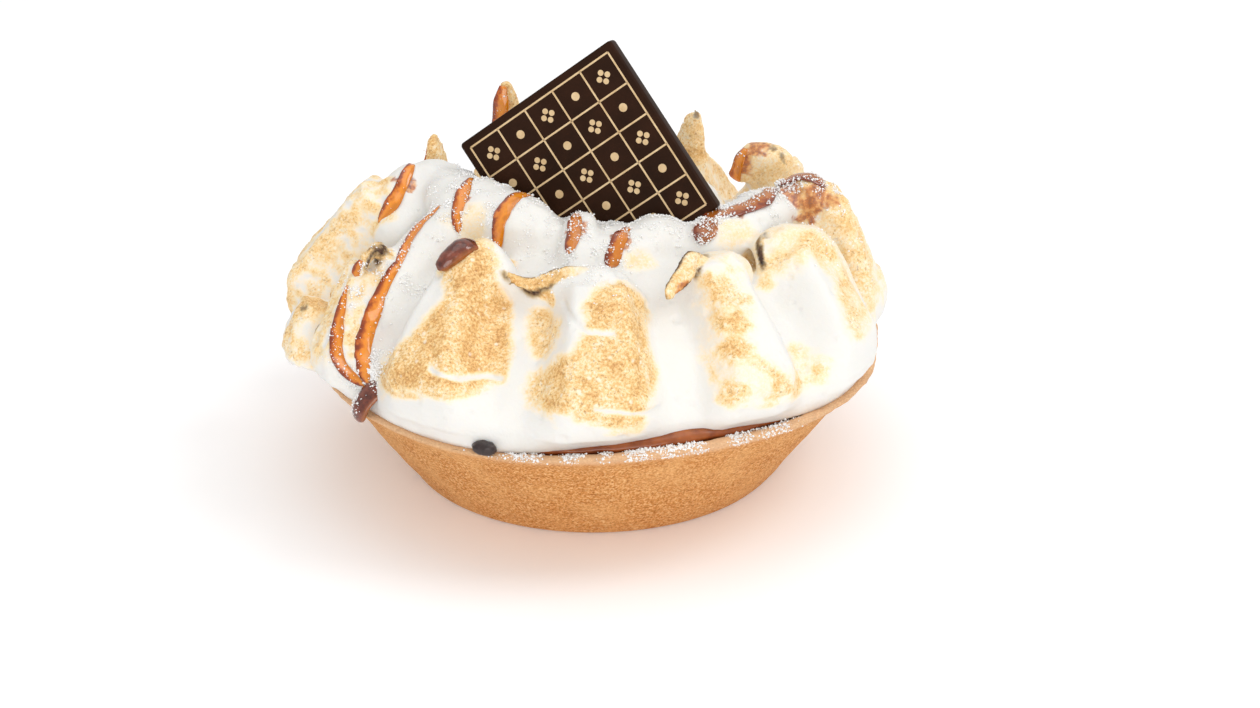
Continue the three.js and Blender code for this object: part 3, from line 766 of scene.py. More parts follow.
def plaque_matrix():
    turn = Matrix.Rotation(math.radians(PLAQUE_YAW), 4, "Z")
    lean = Matrix.Rotation(math.radians(90 - PLAQUE_LEAN), 4, "X")
    spin = Matrix.Rotation(math.radians(PLAQUE_SPIN), 4, "Z")
    return np.array(Matrix.Translation(PLAQUE_CENTRE) @ turn @ lean @ spin)


def plaque_distance(points):
    matrix = plaque_matrix()
    local = (points - matrix[:3, 3]) @ matrix[:3, :3]
    halves = np.array([PLAQUE_SIDE / 2, PLAQUE_SIDE / 2, PLAQUE_THICKNESS / 2])
    return (np.abs(local) - halves).max(axis=-1)


def blend_in(field, axes, beads, blend):
    """Joins a chain of beads to the field, only in the box round it"""
    reach = beads["half"].max() + max(FIELD_MARGIN, blend)
    low, high = beads["route"].min(axis=0) - reach, beads["route"].max(axis=0) + reach
    part = tuple(slice(*np.searchsorted(axis, (low[k], high[k]))) for k, axis in enumerate(axes))
    points = np.stack(np.meshgrid(*(axis[s] for axis, s in zip(axes, part)), indexing="ij"), axis=-1)
    distance, _, _ = chain_distance(beads, points)
    field[part] = smooth_least(field[part], distance, blend)


def meringue_field():
    reach = SKIRT_RADIUS + PETAL_OVERREACH + FIELD_MARGIN
    flat = np.arange(-reach, reach, VOXEL)
    axes = (flat, flat, np.arange(MOUND_BASE - FIELD_MARGIN, FIELD_TOP, VOXEL))
    field = np.empty([len(axis) for axis in axes])
    layers = [np.stack(np.meshgrid(flat, flat, [z], indexing="ij"), axis=-1)[:, :, 0] for z in axes[2]]
    for k, layer in enumerate(layers):
        field[:, :, k] = mound_field(layer)
    chains = [(curl_beads(petal), petal.get("blend", CURL_BLEND)) for petal in PETALS]
    chains += [(lump_beads(*lump), LUMP_BLEND) for lump in LUMPS]
    chains += [(crest_beads(route, half), CREST_BLEND) for route, half, _ in CRESTS]
    chains += [(flap_beads(flap), FLAP_BLEND) for flap in FLAPS]
    for beads, blend in chains:
        blend_in(field, axes, beads, blend)
    for k, layer in enumerate(layers):
        below = skirt_bed(direction_of(layer)) - axes[2][k]
        trimmed = -smooth_least(-field[:, :, k], -below, SKIRT_ROUNDING)
        field[:, :, k] = np.maximum(trimmed, -plaque_distance(layer))
    return field, axes


def surface_nets(field, axes):
    """Quads on the surface where the field is 0"""
    inside = field < 0
    shape = np.array(field.shape)
    steps = np.eye(3, dtype=int)
    corners = [np.array(c) for c in np.ndindex(2, 2, 2)]
    cut = [tuple(slice(c, n - 1 + c) for c, n in zip(corner, shape)) for corner in corners]
    count = sum(inside[c].astype(np.uint8) for c in cut)
    cells = np.argwhere((count > 0) & (count < len(corners)))
    total = np.zeros((len(cells), 3))
    crossings = np.zeros(len(cells))
    for axis, step in enumerate(steps):
        for corner in (c for c in corners if c[axis] == 0):
            a = field[tuple((cells + corner).T)]
            b = field[tuple((cells + corner + step).T)]
            crosses = (a < 0) != (b < 0)
            t = np.where(crosses, a / np.where(crosses, a - b, 1), 0)
            total += np.where(crosses[:, None], corner + t[:, None] * step, 0)
            crossings += crosses
    origin = np.array([axis[0] for axis in axes])
    points = origin + VOXEL * (cells + total / crossings[:, None])
    index = np.full(shape, -1)
    index[tuple(cells.T)] = np.arange(len(cells))
    faces = []
    for axis in range(3):
        u, v = steps[(axis + 1) % 3], steps[(axis + 2) % 3]
        near = np.take(inside, range(shape[axis] - 1), axis)
        far = np.take(inside, range(1, shape[axis]), axis)
        edges = np.argwhere(near != far)
        quad = np.stack([index[tuple((edges - step).T)] for step in (0 * u, u, u + v, v)], axis=-1)
        flip = far[tuple(edges.T)]
        faces.append(np.where(flip[:, None], quad[:, ::-1], quad))
    return points, np.vstack(faces)


def main_body(points, faces):
    """Only the largest connected piece of the surface"""
    label = np.arange(len(points))
    while True:
        lowest = label[faces].min(axis=1)
        new = label.copy()
        for k in range(faces.shape[1]):
            np.minimum.at(new, faces[:, k], lowest)
        new = new[new]
        if (new == label).all():
            break
        label = new
    names, counts = np.unique(label, return_counts=True)
    kept = label == names[np.argmax(counts)]
    renumber = np.cumsum(kept) - 1
    return points[kept], renumber[faces[kept[faces[:, 0]]]]


def pits(points, chance):
    """Depth of round burst bubbles at seeded places, more of them where the chance is high"""
    tree = KDTree(len(points))
    for k, point in enumerate(points.tolist()):
        tree.insert(point, k)
    tree.balance()
    depth = np.zeros(len(points))
    centres = seeded_choice(chance, PIT_COUNT)
    sizes = mostly_small(*PIT_SIZES, PIT_COUNT)
    for centre, size in zip(centres, sizes):
        for _, k, distance in tree.find_range(points[centre].tolist(), size):
            depth[k] = max(depth[k], size * PIT_DEPTH * (1 - (distance / size) ** 2))
    return depth


def dome_places(points):
    """Direction and climb above the horizon of points seen from the core"""
    climb = np.degrees(np.arctan2(points[:, 2] - CORE_HEIGHT, radius_of(points)))
    return np.column_stack([direction_of(points), climb])


def flattened(places, middle):
    """Directions and climbs about a middle one, laid flat in millimetres"""
    per_degree = math.radians(1) * DOME_RADIUS
    across = turn_between(middle[0], places[..., 0]) * per_degree * math.cos(math.radians(middle[1]))
    return across, (places[..., 1] - middle[1]) * per_degree


def flat_edges(line, places):
    """Places on the dome and the edges of a line on it, laid flat about the line's middle"""
    middle = np.mean(line, axis=0)
    corners = np.column_stack(flattened(line, middle))
    return *flattened(places, middle), zip(corners, corners[1:])


def line_distance(line, places):
    """How far places on the dome lie from a line of them, in millimetres"""
    u, v, edges = flat_edges(line, places)
    nearest = np.full(len(u), np.inf)
    for (au, av), (bu, bv) in edges:
        along = ((u - au) * (bu - au) + (v - av) * (bv - av)) / ((bu - au) ** 2 + (bv - av) ** 2)
        along = np.clip(along, 0, 1)
        nearest = np.minimum(nearest, np.hypot(u - lerp(au, bu, along), v - lerp(av, bv, along)))
    return nearest


def inside_outline(line, places):
    """Which places on the dome a closed line of them goes round"""
    u, v, edges = flat_edges(line, places)
    inside = np.zeros(len(u), bool)
    for (au, av), (bu, bv) in edges:
        crosses = (av > v) != (bv > v)
        rise = np.where(crosses, bv - av, 1)
        inside ^= crosses & (u < au + (v - av) * (bu - au) / rise)
    return inside


def toasted_faces(points, places):
    """How much the torch has browned the petals, with white folds left across the faces"""
    wander = np.column_stack([ripples(points, waves) for waves in OUTLINE_WANDER])
    direction, climb = places.T
    streaks = ripple(np.column_stack([direction / STREAK_WIDTH, climb, np.zeros(len(points))]), STREAK_SIZE)
    wander[:, 1] += streaks * (1 - smoothstep(climb, *STREAK_CLIMBS)) * STREAK_LENGTH
    moved = places + wander
    patchy = smoothstep(ripples(points, FACE_WAVES), *FACE_FADE)
    toast = np.zeros(len(points))
    for patch in TOASTED:
        outline = patch["outline"]
        line = curve_points([*outline, outline[0]], OUTLINE_POINTS)
        distance = line_distance(line, moved)
        depth = np.where(inside_outline(line, moved), distance, -distance)
        strength = patch["strength"] * lerp(1, patchy, patch.get("broken", 0))
        toast = np.maximum(toast, strength * smoothstep(depth, *OUTLINE_FADE))
    folds = np.zeros(len(points))
    for fold in FOLDS:
        away = line_distance(curve_points(fold, OUTLINE_POINTS), places + wander / FOLD_CALM)
        folds = np.maximum(folds, 1 - smoothstep(away, *FOLD_FADE))
    return toast * (1 - folds), folds


def petal_masks(points):
    """Browning of the petals that have no outline, and ridges drawn up along all petals"""
    direction, share, base_radius, _ = mound_place(points)
    wander = ripples(points, PETAL_WANDER)
    frames = [petal_frame(petal, direction, share, base_radius) for petal in PETALS]
    lifts = np.array([petal_lift(petal, *at) for petal, at in zip(PETALS, frames)])
    total = (lifts**PETAL_MERGE).sum(axis=0) ** (1 / PETAL_MERGE)
    toast = np.zeros(len(points))
    ridges = np.zeros(len(points))
    clumps = ripples(points, CLUMP_WAVES)
    for k, (petal, (across, climb), lift) in enumerate(zip(PETALS, frames, lifts)):
        owned = (lift / np.maximum(total, LEAST_LIFT)) ** 2
        apart = np.full(len(points), k * PETALS_APART)
        ribs = [across * petal["half"] / RIDGE_WIDTH, climb * RIDGE_BREAKS, apart]
        drawn = ripple(np.column_stack(ribs), 1)
        ridges += owned * drawn * (TORCHED_RIDGE if "toast" in petal else WHITE_RIDGE)
        if "toast" in petal:
            ridges += owned * clumps * CLUMP_DEPTH
            left, right, low, high, strength = petal["toast"]
            face = window(across + wander, left, right, SIDE_FADE)
            face = face * window(climb + wander / 2, low, high, END_FADE)
            torched = smoothstep(drawn + CLUMP_SHARE * clumps, *TORCH_FADE)
            toast = np.maximum(toast, strength * face * owned * lerp(petal.get("even", 0), 1, torched))
    return toast, ridges * np.clip(total / RIDGE_LIFT, 0, 1)


def raise_part(values, part, least):
    """Lifts a part of the values to at least the given ones"""
    values[part] = np.maximum(values[part], least)


def tip_masks(points):
    """Browning of the crests and curls, and the burnt edges of some curls"""
    burn = np.zeros(len(points))
    toast = np.zeros(len(points))
    patchy = patches(points, *BURN_PATCHES)
    wander = ripples(points, CREST_WANDER)
    for route, half, strength in CRESTS:
        beads = crest_beads(route, half)
        reach = route_length(beads["route"]) / 2 + CURL_REACH
        near = distance_to(beads["route"].mean(axis=0), points) < reach
        distance, _, _ = chain_distance(beads, points[near])
        raise_part(toast, near, strength * (1 - smoothstep(distance + wander[near], *CREST_FADE)))
    tips = [(curl_beads(petal), petal["tip_look"], CURL_SHARES) for petal in PETALS if "tip_look" in petal]
    tips += [(flap_beads(flap), flap["look"], FLAP_SHARES) for flap in FLAPS]
    for beads, look, begin in tips:
        near = distance_to(beads["route"].mean(axis=0), points) < CURL_REACH
        distance, share, sideways = chain_distance(beads, points[near])
        on_curl = (1 - smoothstep(distance, *TIP_FADE)) * smoothstep(share, *begin)
        raise_part(toast, near, on_curl * TIP_TOAST)
        if look in ("edged", "burnt"):
            edge = smoothstep(np.abs(sideways), *EDGE_SHARES) * patches(points[near], *EDGE_PATCHES)
            end = END_BURN * smoothstep(share, *END_SHARES) * patchy[near]
            raise_part(burn, near, on_curl * np.maximum(edge, end))
        if look == "burnt":
            raise_part(burn, near, on_curl * smoothstep(share, *BURNT_SHARES) * patchy[near])
    ragged = ripples(points, SPECK_WAVES)
    for speck in SPECKS:
        away = distance_to(speck, points) + ragged
        burn = np.maximum(burn, SPECK_BURN * (1 - smoothstep(away, *SPECK_FADE)))
    return burn, toast


def stained(points):
    """Where syrup has soaked into the meringue"""
    stain = np.zeros(len(points))
    wander = ripples(points, STAIN_WANDER)
    for middle, radius in STAINS:
        away = distance_to(middle, points) + wander
        stain = np.maximum(stain, 1 - smoothstep(away, radius * STAIN_CORE, radius))
    return stain


def meringue_piece():
    points, faces = main_body(*surface_nets(*meringue_field()))
    normals = normals_of(points, faces)
    places = dome_places(points)
    direction, climb = places.T
    outlined, folds = toasted_faces(points, places)
    windowed, ridges = petal_masks(points)
    burn, tip_toast = tip_masks(points)
    toast = np.maximum(np.maximum(outlined, windowed), tip_toast)
    above = points[:, 2] - skirt_bed(direction)
    free = smoothstep(above, *SKIRT_FADE) * smoothstep(plaque_distance(points), *PLAQUE_FADE)
    crown = smoothstep(climb, *CROWN_CLIMBS)
    relief = sum((low + more * crown) * ripple(points, size) for size, low, more in RELIEF_WAVES)
    relief += ridges
    relief -= pits(points, free * (PIT_CHANCE + toast))
    relief -= folds * FOLD_DEPTH
    points = points + normals * (relief * free)[:, None]
    values = dict(toast=toast, burn=burn, stain=stained(points))
    piece = make_piece("meringue_petals", points, faces, meringue_material(), values)
    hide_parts("meringue")
    return points, faces


# Pastry, filling, bead and chocolate

def cut_corners(points, times):
    """Rounds the corners of an open outline, keeping its ends"""
    for _ in range(times):
        a, b = points[:-1], points[1:]
        inner = np.stack([lerp(a, b, 0.25), lerp(a, b, 0.75)], axis=1).reshape(-1, points.shape[1])
        points = np.vstack([points[:1], inner[1:-1], points[-1:]])
    return points


def turned(outline, segments):
    """An outline of [radius, height] turned about the upright axis and capped at both ends"""
    across, along = circle(segments)
    radius, height = outline[:, :1], outline[:, 1:]
    rings = [radius * across, radius * along, np.repeat(height, segments, axis=1)]
    return np.stack(rings, axis=-1).reshape(-1, 3), tube_faces(len(outline), segments)


def wall_radius(height):
    shoulder = RIM_RADIUS - LIP_FLARE
    if height < LIP_START:
        return lerp(FOOT_RADIUS, shoulder, height / LIP_START)
    return lerp(shoulder, RIM_RADIUS, (height - LIP_START) / LIP_RISE)


def follow_rim(points):
    return points - UPWARD * rim_wave(direction_of(points), points[:, 2])[:, None]


def chip_lip(points):
    radius = radius_of(points)
    depth = CHIP_DEPTH * swell(direction_of(points), CHIP_DIRECTION, CHIP_SPREAD)
    loss = depth * np.maximum(radius - (RIM_RADIUS - WALL_WIDTH), 0) / WALL_WIDTH
    kept = 1 - np.where(points[:, 2] < LIP_START, 0, loss) / radius
    return points * np.column_stack([kept, kept, np.ones(len(points))])


def pastry_piece():
    edge = CRUST_EDGE
    outside = np.array([
        (FOOT_RADIUS - 4 * edge, 0),
        (FOOT_RADIUS - edge, 0),
        (wall_radius(edge), edge),
        (wall_radius(LIP_START - 2 * edge), LIP_START - 2 * edge),
        (wall_radius(LIP_START + 2 * edge), LIP_START + 2 * edge),
        (RIM_RADIUS, RIM_HEIGHT - edge),
        (RIM_RADIUS - edge / 2, RIM_HEIGHT),
        (RIM_RADIUS - WALL_WIDTH, RIM_HEIGHT - edge / 2),
        (wall_radius(LIP_START) - WALL_WIDTH, LIP_START),
    ])
    outside = cut_corners(outside, 3)
    outside = evenly(outside, round(route_length(outside) / CUP_STEP))
    inside = np.array([
        (wall_radius(LIP_START / 2) - WALL_WIDTH, LIP_START / 2),
        (wall_radius(FLOOR_THICKNESS) - WALL_WIDTH, FLOOR_THICKNESS + edge),
        (wall_radius(FLOOR_THICKNESS) - WALL_WIDTH - edge, FLOOR_THICKNESS),
    ])
    points, faces = turned(np.vstack([outside, inside]), CUP_SEGMENTS)
    points = follow_rim(chip_lip(points))
    lip = smoothstep(points[:, 2] / RIM_HEIGHT, *LIP_SHARES)
    crumbly = ripples(points, CRUMB_WAVES) + lip * ripples(points, LIP_WAVES)
    free = smoothstep(points[:, 2], *FOOT_FADE)
    points = points + unit_rows(points * (1, 1, 0)) * (crumbly * free)[:, None]
    points[:, 2] += lip * ripples(points, LIP_TOP_WAVES)
    piece = make_piece("pastry_cup", points, faces, crust_material(), dict(lip=lip))
    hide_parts("pastry_shell")
    return points


def filling_piece():
    bottom = FLOOR_THICKNESS + GAP / 2
    inset = WALL_WIDTH + GAP / 2
    outline = np.array([
        (wall_radius(bottom) - inset - FILLING_FOOT, bottom),
        (wall_radius(bottom) - inset, bottom),
        (wall_radius(LIP_START) - inset, LIP_START),
        *((RIM_RADIUS - WALL_WIDTH + out, RIM_HEIGHT + up) for out, up in FILLING_EDGE),
    ])
    points, faces = turned(evenly(cut_corners(outline, 2), FILLING_ROWS), FILLING_SEGMENTS)
    points = follow_rim(points)
    top = smoothstep(points[:, 2], LIP_START, RIM_HEIGHT)
    points[:, 2] += top * ripples(points, FILLING_WAVES)
    piece = make_piece("lemon_layer", points, faces, filling_material())
    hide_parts("lemon_filling")


def bead_piece():
    tilt = np.linspace(BEAD_CAP, math.pi - BEAD_CAP, BEAD_ROWS)[:, None]
    across, along = circle(BEAD_SIDES)
    ball = [np.sin(tilt) * across, np.sin(tilt) * along, np.repeat(-np.cos(tilt), BEAD_SIDES, axis=1)]
    points = np.stack(ball, axis=-1).reshape(-1, 3) * BEAD_SIZE
    points *= 1 + ripples(points, BEAD_WAVES)[:, None]
    turn = np.array(Matrix.Rotation(math.radians(BEAD_DIRECTION), 3, "Z"))
    points = points @ turn.T + polar(BEAD_DIRECTION, BEAD_RADIUS, BEAD_HEIGHT)
    faces = tube_faces(BEAD_ROWS, BEAD_SIDES)
    piece = make_piece("burnt_bead", points, faces, burnt_material())
    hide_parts("meringue")


def rounded_square(half, corner):
    """Outline of a square with rounded corners, anticlockwise"""
    points = []
    for k, (x, y) in enumerate([(1, 1), (-1, 1), (-1, -1), (1, -1)]):
        angles = quarter(CORNER_POINTS) + k * math.pi / 2
        centre = np.array([x, y]) * (half - corner)
        points.append(centre + corner * np.column_stack([np.cos(angles), np.sin(angles)]))
    return np.vstack(points)


def at_height(outline, height):
    return np.column_stack([outline, np.full(len(outline), height)])


def placed_on_plaque(points):
    matrix = plaque_matrix()
    return points @ matrix[:3, :3].T + matrix[:3, 3]


def plaque_piece():
    turns = quarter(BEVEL_POINTS)
    steps = [(1 - math.sin(t), -math.cos(t)) for t in turns]
    steps += [(1 - math.cos(t), math.sin(t)) for t in turns]
    flat = PLAQUE_THICKNESS / 2 - PLAQUE_BEVEL
    rings = []
    for inset, lift in steps:
        outline = rounded_square(PLAQUE_SIDE / 2 - inset * PLAQUE_BEVEL, PLAQUE_CORNER)
        rings.append(at_height(outline, math.copysign(flat, lift) + lift * PLAQUE_BEVEL))
    faces = tube_faces(len(rings), len(rings[0]))
    points = placed_on_plaque(np.vstack(rings))
    piece = make_piece("chocolate_square", points, faces, chocolate_material())
    for cap in piece.data.polygons[-2:]:
        cap.use_smooth = False
    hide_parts("chocolate_plaque")


def prism(outline):
    """A flat printed shape on the front of the square"""
    low = PLAQUE_THICKNESS / 2 - PRINT_HEIGHT / 2
    points = np.vstack([at_height(outline, low), at_height(outline, low + PRINT_HEIGHT)])
    return points, tube_faces(2, len(outline))


def disc(centre, radius):
    return np.array(centre) + radius * np.column_stack(circle(DISC_SIDES))


def bar(start, end, width):
    start, end = np.array(start, float), np.array(end, float)
    across = unit(end - start)[::-1] * (-1, 1) * width / 2
    return np.array([start - across, end - across, end + across, start + across])


def print_piece():
    """A plain trellis of cream lines with dots and four-leaved flowers between them"""
    span = PLAQUE_SIDE / 2 - PRINT_MARGIN
    marks = np.linspace(-span, span, PRINT_CELLS + 1)
    middles = (marks[:-1] + marks[1:]) / 2
    shapes = [bar((mark, -span), (mark, span), PRINT_LINE) for mark in marks]
    shapes += [bar((-span, mark), (span, mark), PRINT_LINE) for mark in marks]
    for i, u in enumerate(middles):
        for j, v in enumerate(middles):
            if (i + j) % 2:
                shapes.append(disc((u, v), PRINT_DOT))
                continue
            for x, y in [(1, 0), (-1, 0), (0, 1), (0, -1)]:
                shapes.append(disc((u + x * PRINT_LEAF, v + y * PRINT_LEAF), PRINT_LEAF * LEAF_SHARE))
    points, faces = joined([prism(shape) for shape in shapes])
    make_piece("cream_print", placed_on_plaque(points), faces, print_material(), smooth=False)


# Caramel and sugar

def calmed(path, rounds):
    """The path with its kinks smoothed out, from the same start to the same end"""
    for _ in range(rounds):
        path = np.vstack([path[:1], (path[:-2] + 2 * path[1:-1] + path[2:]) / 4, path[-1:]])
    return path


def nearest_on(tree, path):
    """Nearest places on the surface, its normals there, and how high over it the path runs"""
    found = [tree.find_nearest(Vector(p)) for p in path]
    nearest = np.array([place for place, *_ in found])
    normals = np.array([normal for _, normal, *_ in found])
    return nearest, normals, ((path - nearest) * normals).sum(axis=1)[:, None]


def settled(tree, path):
    """The path drawn over the surface, across its small hollows, with calm normals"""
    for _ in range(SETTLE_ROUNDS):
        path = calmed(path, 1)
        nearest, normals, height = nearest_on(tree, path)
        path = np.where(height < 0, nearest, lerp(path, nearest, SETTLE_SHARE))
    normals = unit_rows(calmed(normals, SETTLE_ROUNDS))
    nearest, facing, height = nearest_on(tree, calmed(path, SETTLE_ROUNDS))
    return calmed(nearest + facing * np.clip(height, STRAND_FLOAT, STRAND_LIFT), CALM_ROUNDS), normals


def strand(path, normals, half, shift, height, plump):
    """A flattened thread of caramel of uneven width, thin where it starts unless it is plump"""
    share = np.linspace(0, 1, len(path))
    if plump:
        rounded = np.sqrt(np.maximum(1 - np.abs(2 * share - 1) ** PLUMP_ROUNDNESS, STRAND_END))
    else:
        start = lerp(STRAND_START, 1, smoothstep(share, *STRAND_SHARES))
        rounded = np.sqrt(np.maximum(1 - share**STRAND_ROUNDNESS, STRAND_END)) * start
    width = half * rounded * (1 + ripples(path, STRAND_WAVES, shift))
    side = unit_rows(np.cross(normals, np.gradient(path, axis=0)))
    across, up = circle(STRAND_SIDES)
    offset = side[:, None] * across[:, None] + normals[:, None] * (up * height)[:, None]
    points = path[:, None] + offset * width[:, None, None]
    outward = unit_rows(side[:, None] * (across * height)[:, None] + normals[:, None] * up[:, None])
    mesh = (points.reshape(-1, 3), tube_faces(len(path), STRAND_SIDES))
    return dict(mesh=mesh, outward=outward.reshape(-1, 3), across=np.tile(across, len(path)))


def caramel_piece(tree):
    strands = []
    dark = []
    sugar = []
    for k, thread in enumerate(CARAMEL):
        path = smooth_curve(thread["route"])
        path = evenly(path, max(STRAND_LEAST, round(route_length(path) / STRAND_STEP)))
        if "facing" in thread:
            normals = np.tile(unit(np.array(thread["facing"])), (len(path), 1))
        else:
            path, normals = settled(tree, path)
        height = thread.get("height", STRAND_HEIGHT)
        made = strand(path, normals, thread["half"], k * STRANDS_APART, height, "facing" in thread)
        strands.append(made)
        dark.append(np.full(len(made["across"]), thread["dark"]))
        sugar.append(np.full(len(made["across"]), thread.get("sugar", lerp(*STRAND_SUGAR, thread["dark"]))))
    values = dict(across=np.concatenate([made["across"] for made in strands]), dark=np.concatenate(dark))
    points, faces = joined([made["mesh"] for made in strands])
    piece = make_piece("caramel_drizzle", points, faces, caramel_material(), values)
    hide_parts("meringue")
    return points, np.vstack([made["outward"] for made in strands]), np.concatenate(sugar)


def grain_shape():
    """Six points and eight faces of a crystal"""
    points = np.vstack([np.eye(3), -np.eye(3)])
    faces = []
    for x, y, z in np.ndindex(2, 2, 2):
        corner = [3 * x, 1 + 3 * y, 2 + 3 * z]
        faces.append(corner if (x + y + z) % 2 == 0 else corner[::-1])
    return points, np.array(faces)


def spot_weight(places, direction, climb, spread, weight):
    u, v = flattened(places, (direction, climb))
    return weight * np.exp(-(u**2 + v**2) / spread**2)


def sugar_places(points, faces):
    """Seeded places of grains on the meringue: thick at the plaque's foot, thin elsewhere"""
    normals = normals_of(points, faces)
    places = dome_places(points)
    clumped = patches(points, *SUGAR_PATCHES)
    weight = FOOT_SUGAR * (1 - smoothstep(plaque_distance(points), *FOOT_SPREAD))
    weight += CROWN_SUGAR * smoothstep(places[:, 1], *SUGAR_CLIMBS) * clumped
    for spot in SUGAR_SPOTS:
        weight += spot_weight(places, **spot) * clumped
    weight *= smoothstep(normals[:, 2], *SUGAR_SLOPES) * (plaque_distance(points) > SUGAR_GAP)
    chosen = seeded_choice(weight, GRAIN_COUNT)
    return points[chosen], normals[chosen]


def caramel_places(points, normals, sugar):
    """Grains on the threads, most of all on the dark ones"""
    weight = smoothstep(normals[:, 2], *STRAND_SLOPES) * sugar * patches(points, *STRAND_PATCHES)
    chosen = seeded_choice(weight, CARAMEL_GRAINS)
    return points[chosen], normals[chosen]


def rim_places(points):
    """Grains on the front of the rim"""
    top = (points[:, 2] > RIM_HEIGHT - RIM_TOP) & (radius_of(points) > RIM_RADIUS - WALL_WIDTH)
    weight = window(direction_of(points), *RIM_SUGAR, RIM_SUGAR_FADE) * top * patches(points, *RIM_PATCHES)
    return points[seeded_choice(weight, RIM_GRAINS)], np.tile(UPWARD, (RIM_GRAINS, 1))


def sugar_piece(*places):
    spots = np.vstack([spots for spots, _ in places])
    normals = np.vstack([normals for _, normals in places])
    sizes = mostly_small(*GRAIN_SIZES, len(spots))
    shape, sides = grain_shape()
    lumpy = rng.uniform(*GRAIN_LUMPS, (len(spots), len(shape), 1))
    jitter = rng.normal(0, GRAIN_SCATTER, spots.shape)
    centres = spots + jitter - normals * (jitter * normals).sum(axis=1, keepdims=True)
    centres = centres + normals * (sizes * rng.uniform(*GRAIN_LIFT, len(spots)))[:, None]
    points = (centres[:, None] + shape * lumpy * sizes[:, None, None]).reshape(-1, 3)
    faces = (np.arange(len(spots))[:, None, None] * len(shape) + sides).reshape(-1, 3)
    make_piece("icing_sugar", points, faces, sugar_material())


# Materials

def linear(code):
    """A colour given as six hex digits, as the shader wants it"""
    parts = np.array([int(code[k:k + 2], 16) for k in (0, 2, 4)]) / 255
    return (*np.where(parts <= 0.04045, parts / 12.92, ((parts + 0.055) / 1.055) ** 2.4), 1)


class Shader:
    """A material's node tree with short ways to add to it"""

    def __init__(self, name, **sockets):
        self.material = bpy.data.materials.new(name)
        self.material.use_nodes = True
        self.tree = self.material.node_tree
        self.surface = self.tree.nodes["Principled BSDF"]
        for key, value in sockets.items():
            self.surface.inputs[key.replace("_", " ")].default_value = value
        self.coordinates = self.tree.nodes.new("ShaderNodeTexCoord").outputs["Object"]

    def put(self, kind, inputs, output=0, **settings):
        made = self.tree.nodes.new(kind)
        for key, value in settings.items():
            setattr(made, key, value)
        for key, value in inputs.items():
            if isinstance(value, bpy.types.NodeSocket):
                self.tree.links.new(value, made.inputs[key])
            else:
                made.inputs[key].default_value = value
        return made.outputs[output]

    def noise(self, size, detail=2.0, roughness=0.6, stretch=None):
        vector = self.coordinates
        if stretch:
            vector = self.put("ShaderNodeVectorMath", {0: vector, 1: stretch}, operation="MULTIPLY")
        inputs = {"Vector": vector, "Scale": 1 / (size * MM), "Detail": detail, "Roughness": roughness}
        return self.put("ShaderNodeTexNoise", inputs)

    def cells(self, size):
        inputs = {"Vector": self.coordinates, "Scale": 1 / (size * MM)}
        return self.put("ShaderNodeTexVoronoi", inputs, "Distance")

    def value(self, name):
        return self.put("ShaderNodeAttribute", {}, "Fac", attribute_name=name)

    def math(self, operation, a, b=0.0, clamp=False):
        return self.put("ShaderNodeMath", {0: a, 1: b}, operation=operation, use_clamp=clamp)

    def span(self, value, low, high, to_low=0.0, to_high=1.0):
        inputs = {"Value": value, "From Min": low, "From Max": high, "To Min": to_low, "To Max": to_high}
        return self.put("ShaderNodeMapRange", inputs, interpolation_type="SMOOTHSTEP")

    def mix(self, share, a, b):
        return self.put("ShaderNodeMix", {0: share, 6: a, 7: b}, 2, data_type="RGBA")

    def ramp(self, value, stops):
        made = self.tree.nodes.new("ShaderNodeValToRGB")
        elements = made.color_ramp.elements
        while len(elements) < len(stops):
            elements.new(0.5)
        for element, (place, code) in zip(elements, stops):
            element.position = place
            element.color = linear(code)
        self.tree.links.new(value, made.inputs[0])
        return made.outputs[0]

    def mottle(self, size, dark, pale, low=0.3, high=0.7, detail=3):
        """Noise between two colours"""
        return self.ramp(self.noise(size, detail), [(low, dark), (high, pale)])

    def bump(self, height, distance, strength=1.0, under=None):
        inputs = {"Height": height, "Distance": distance * MM, "Strength": strength}
        if under is not None:
            inputs["Normal"] = under
        return self.put("ShaderNodeBump", inputs)

    def set(self, **links):
        for key, value in links.items():
            self.tree.links.new(value, self.surface.inputs[key.replace("_", " ")])
        return self.material


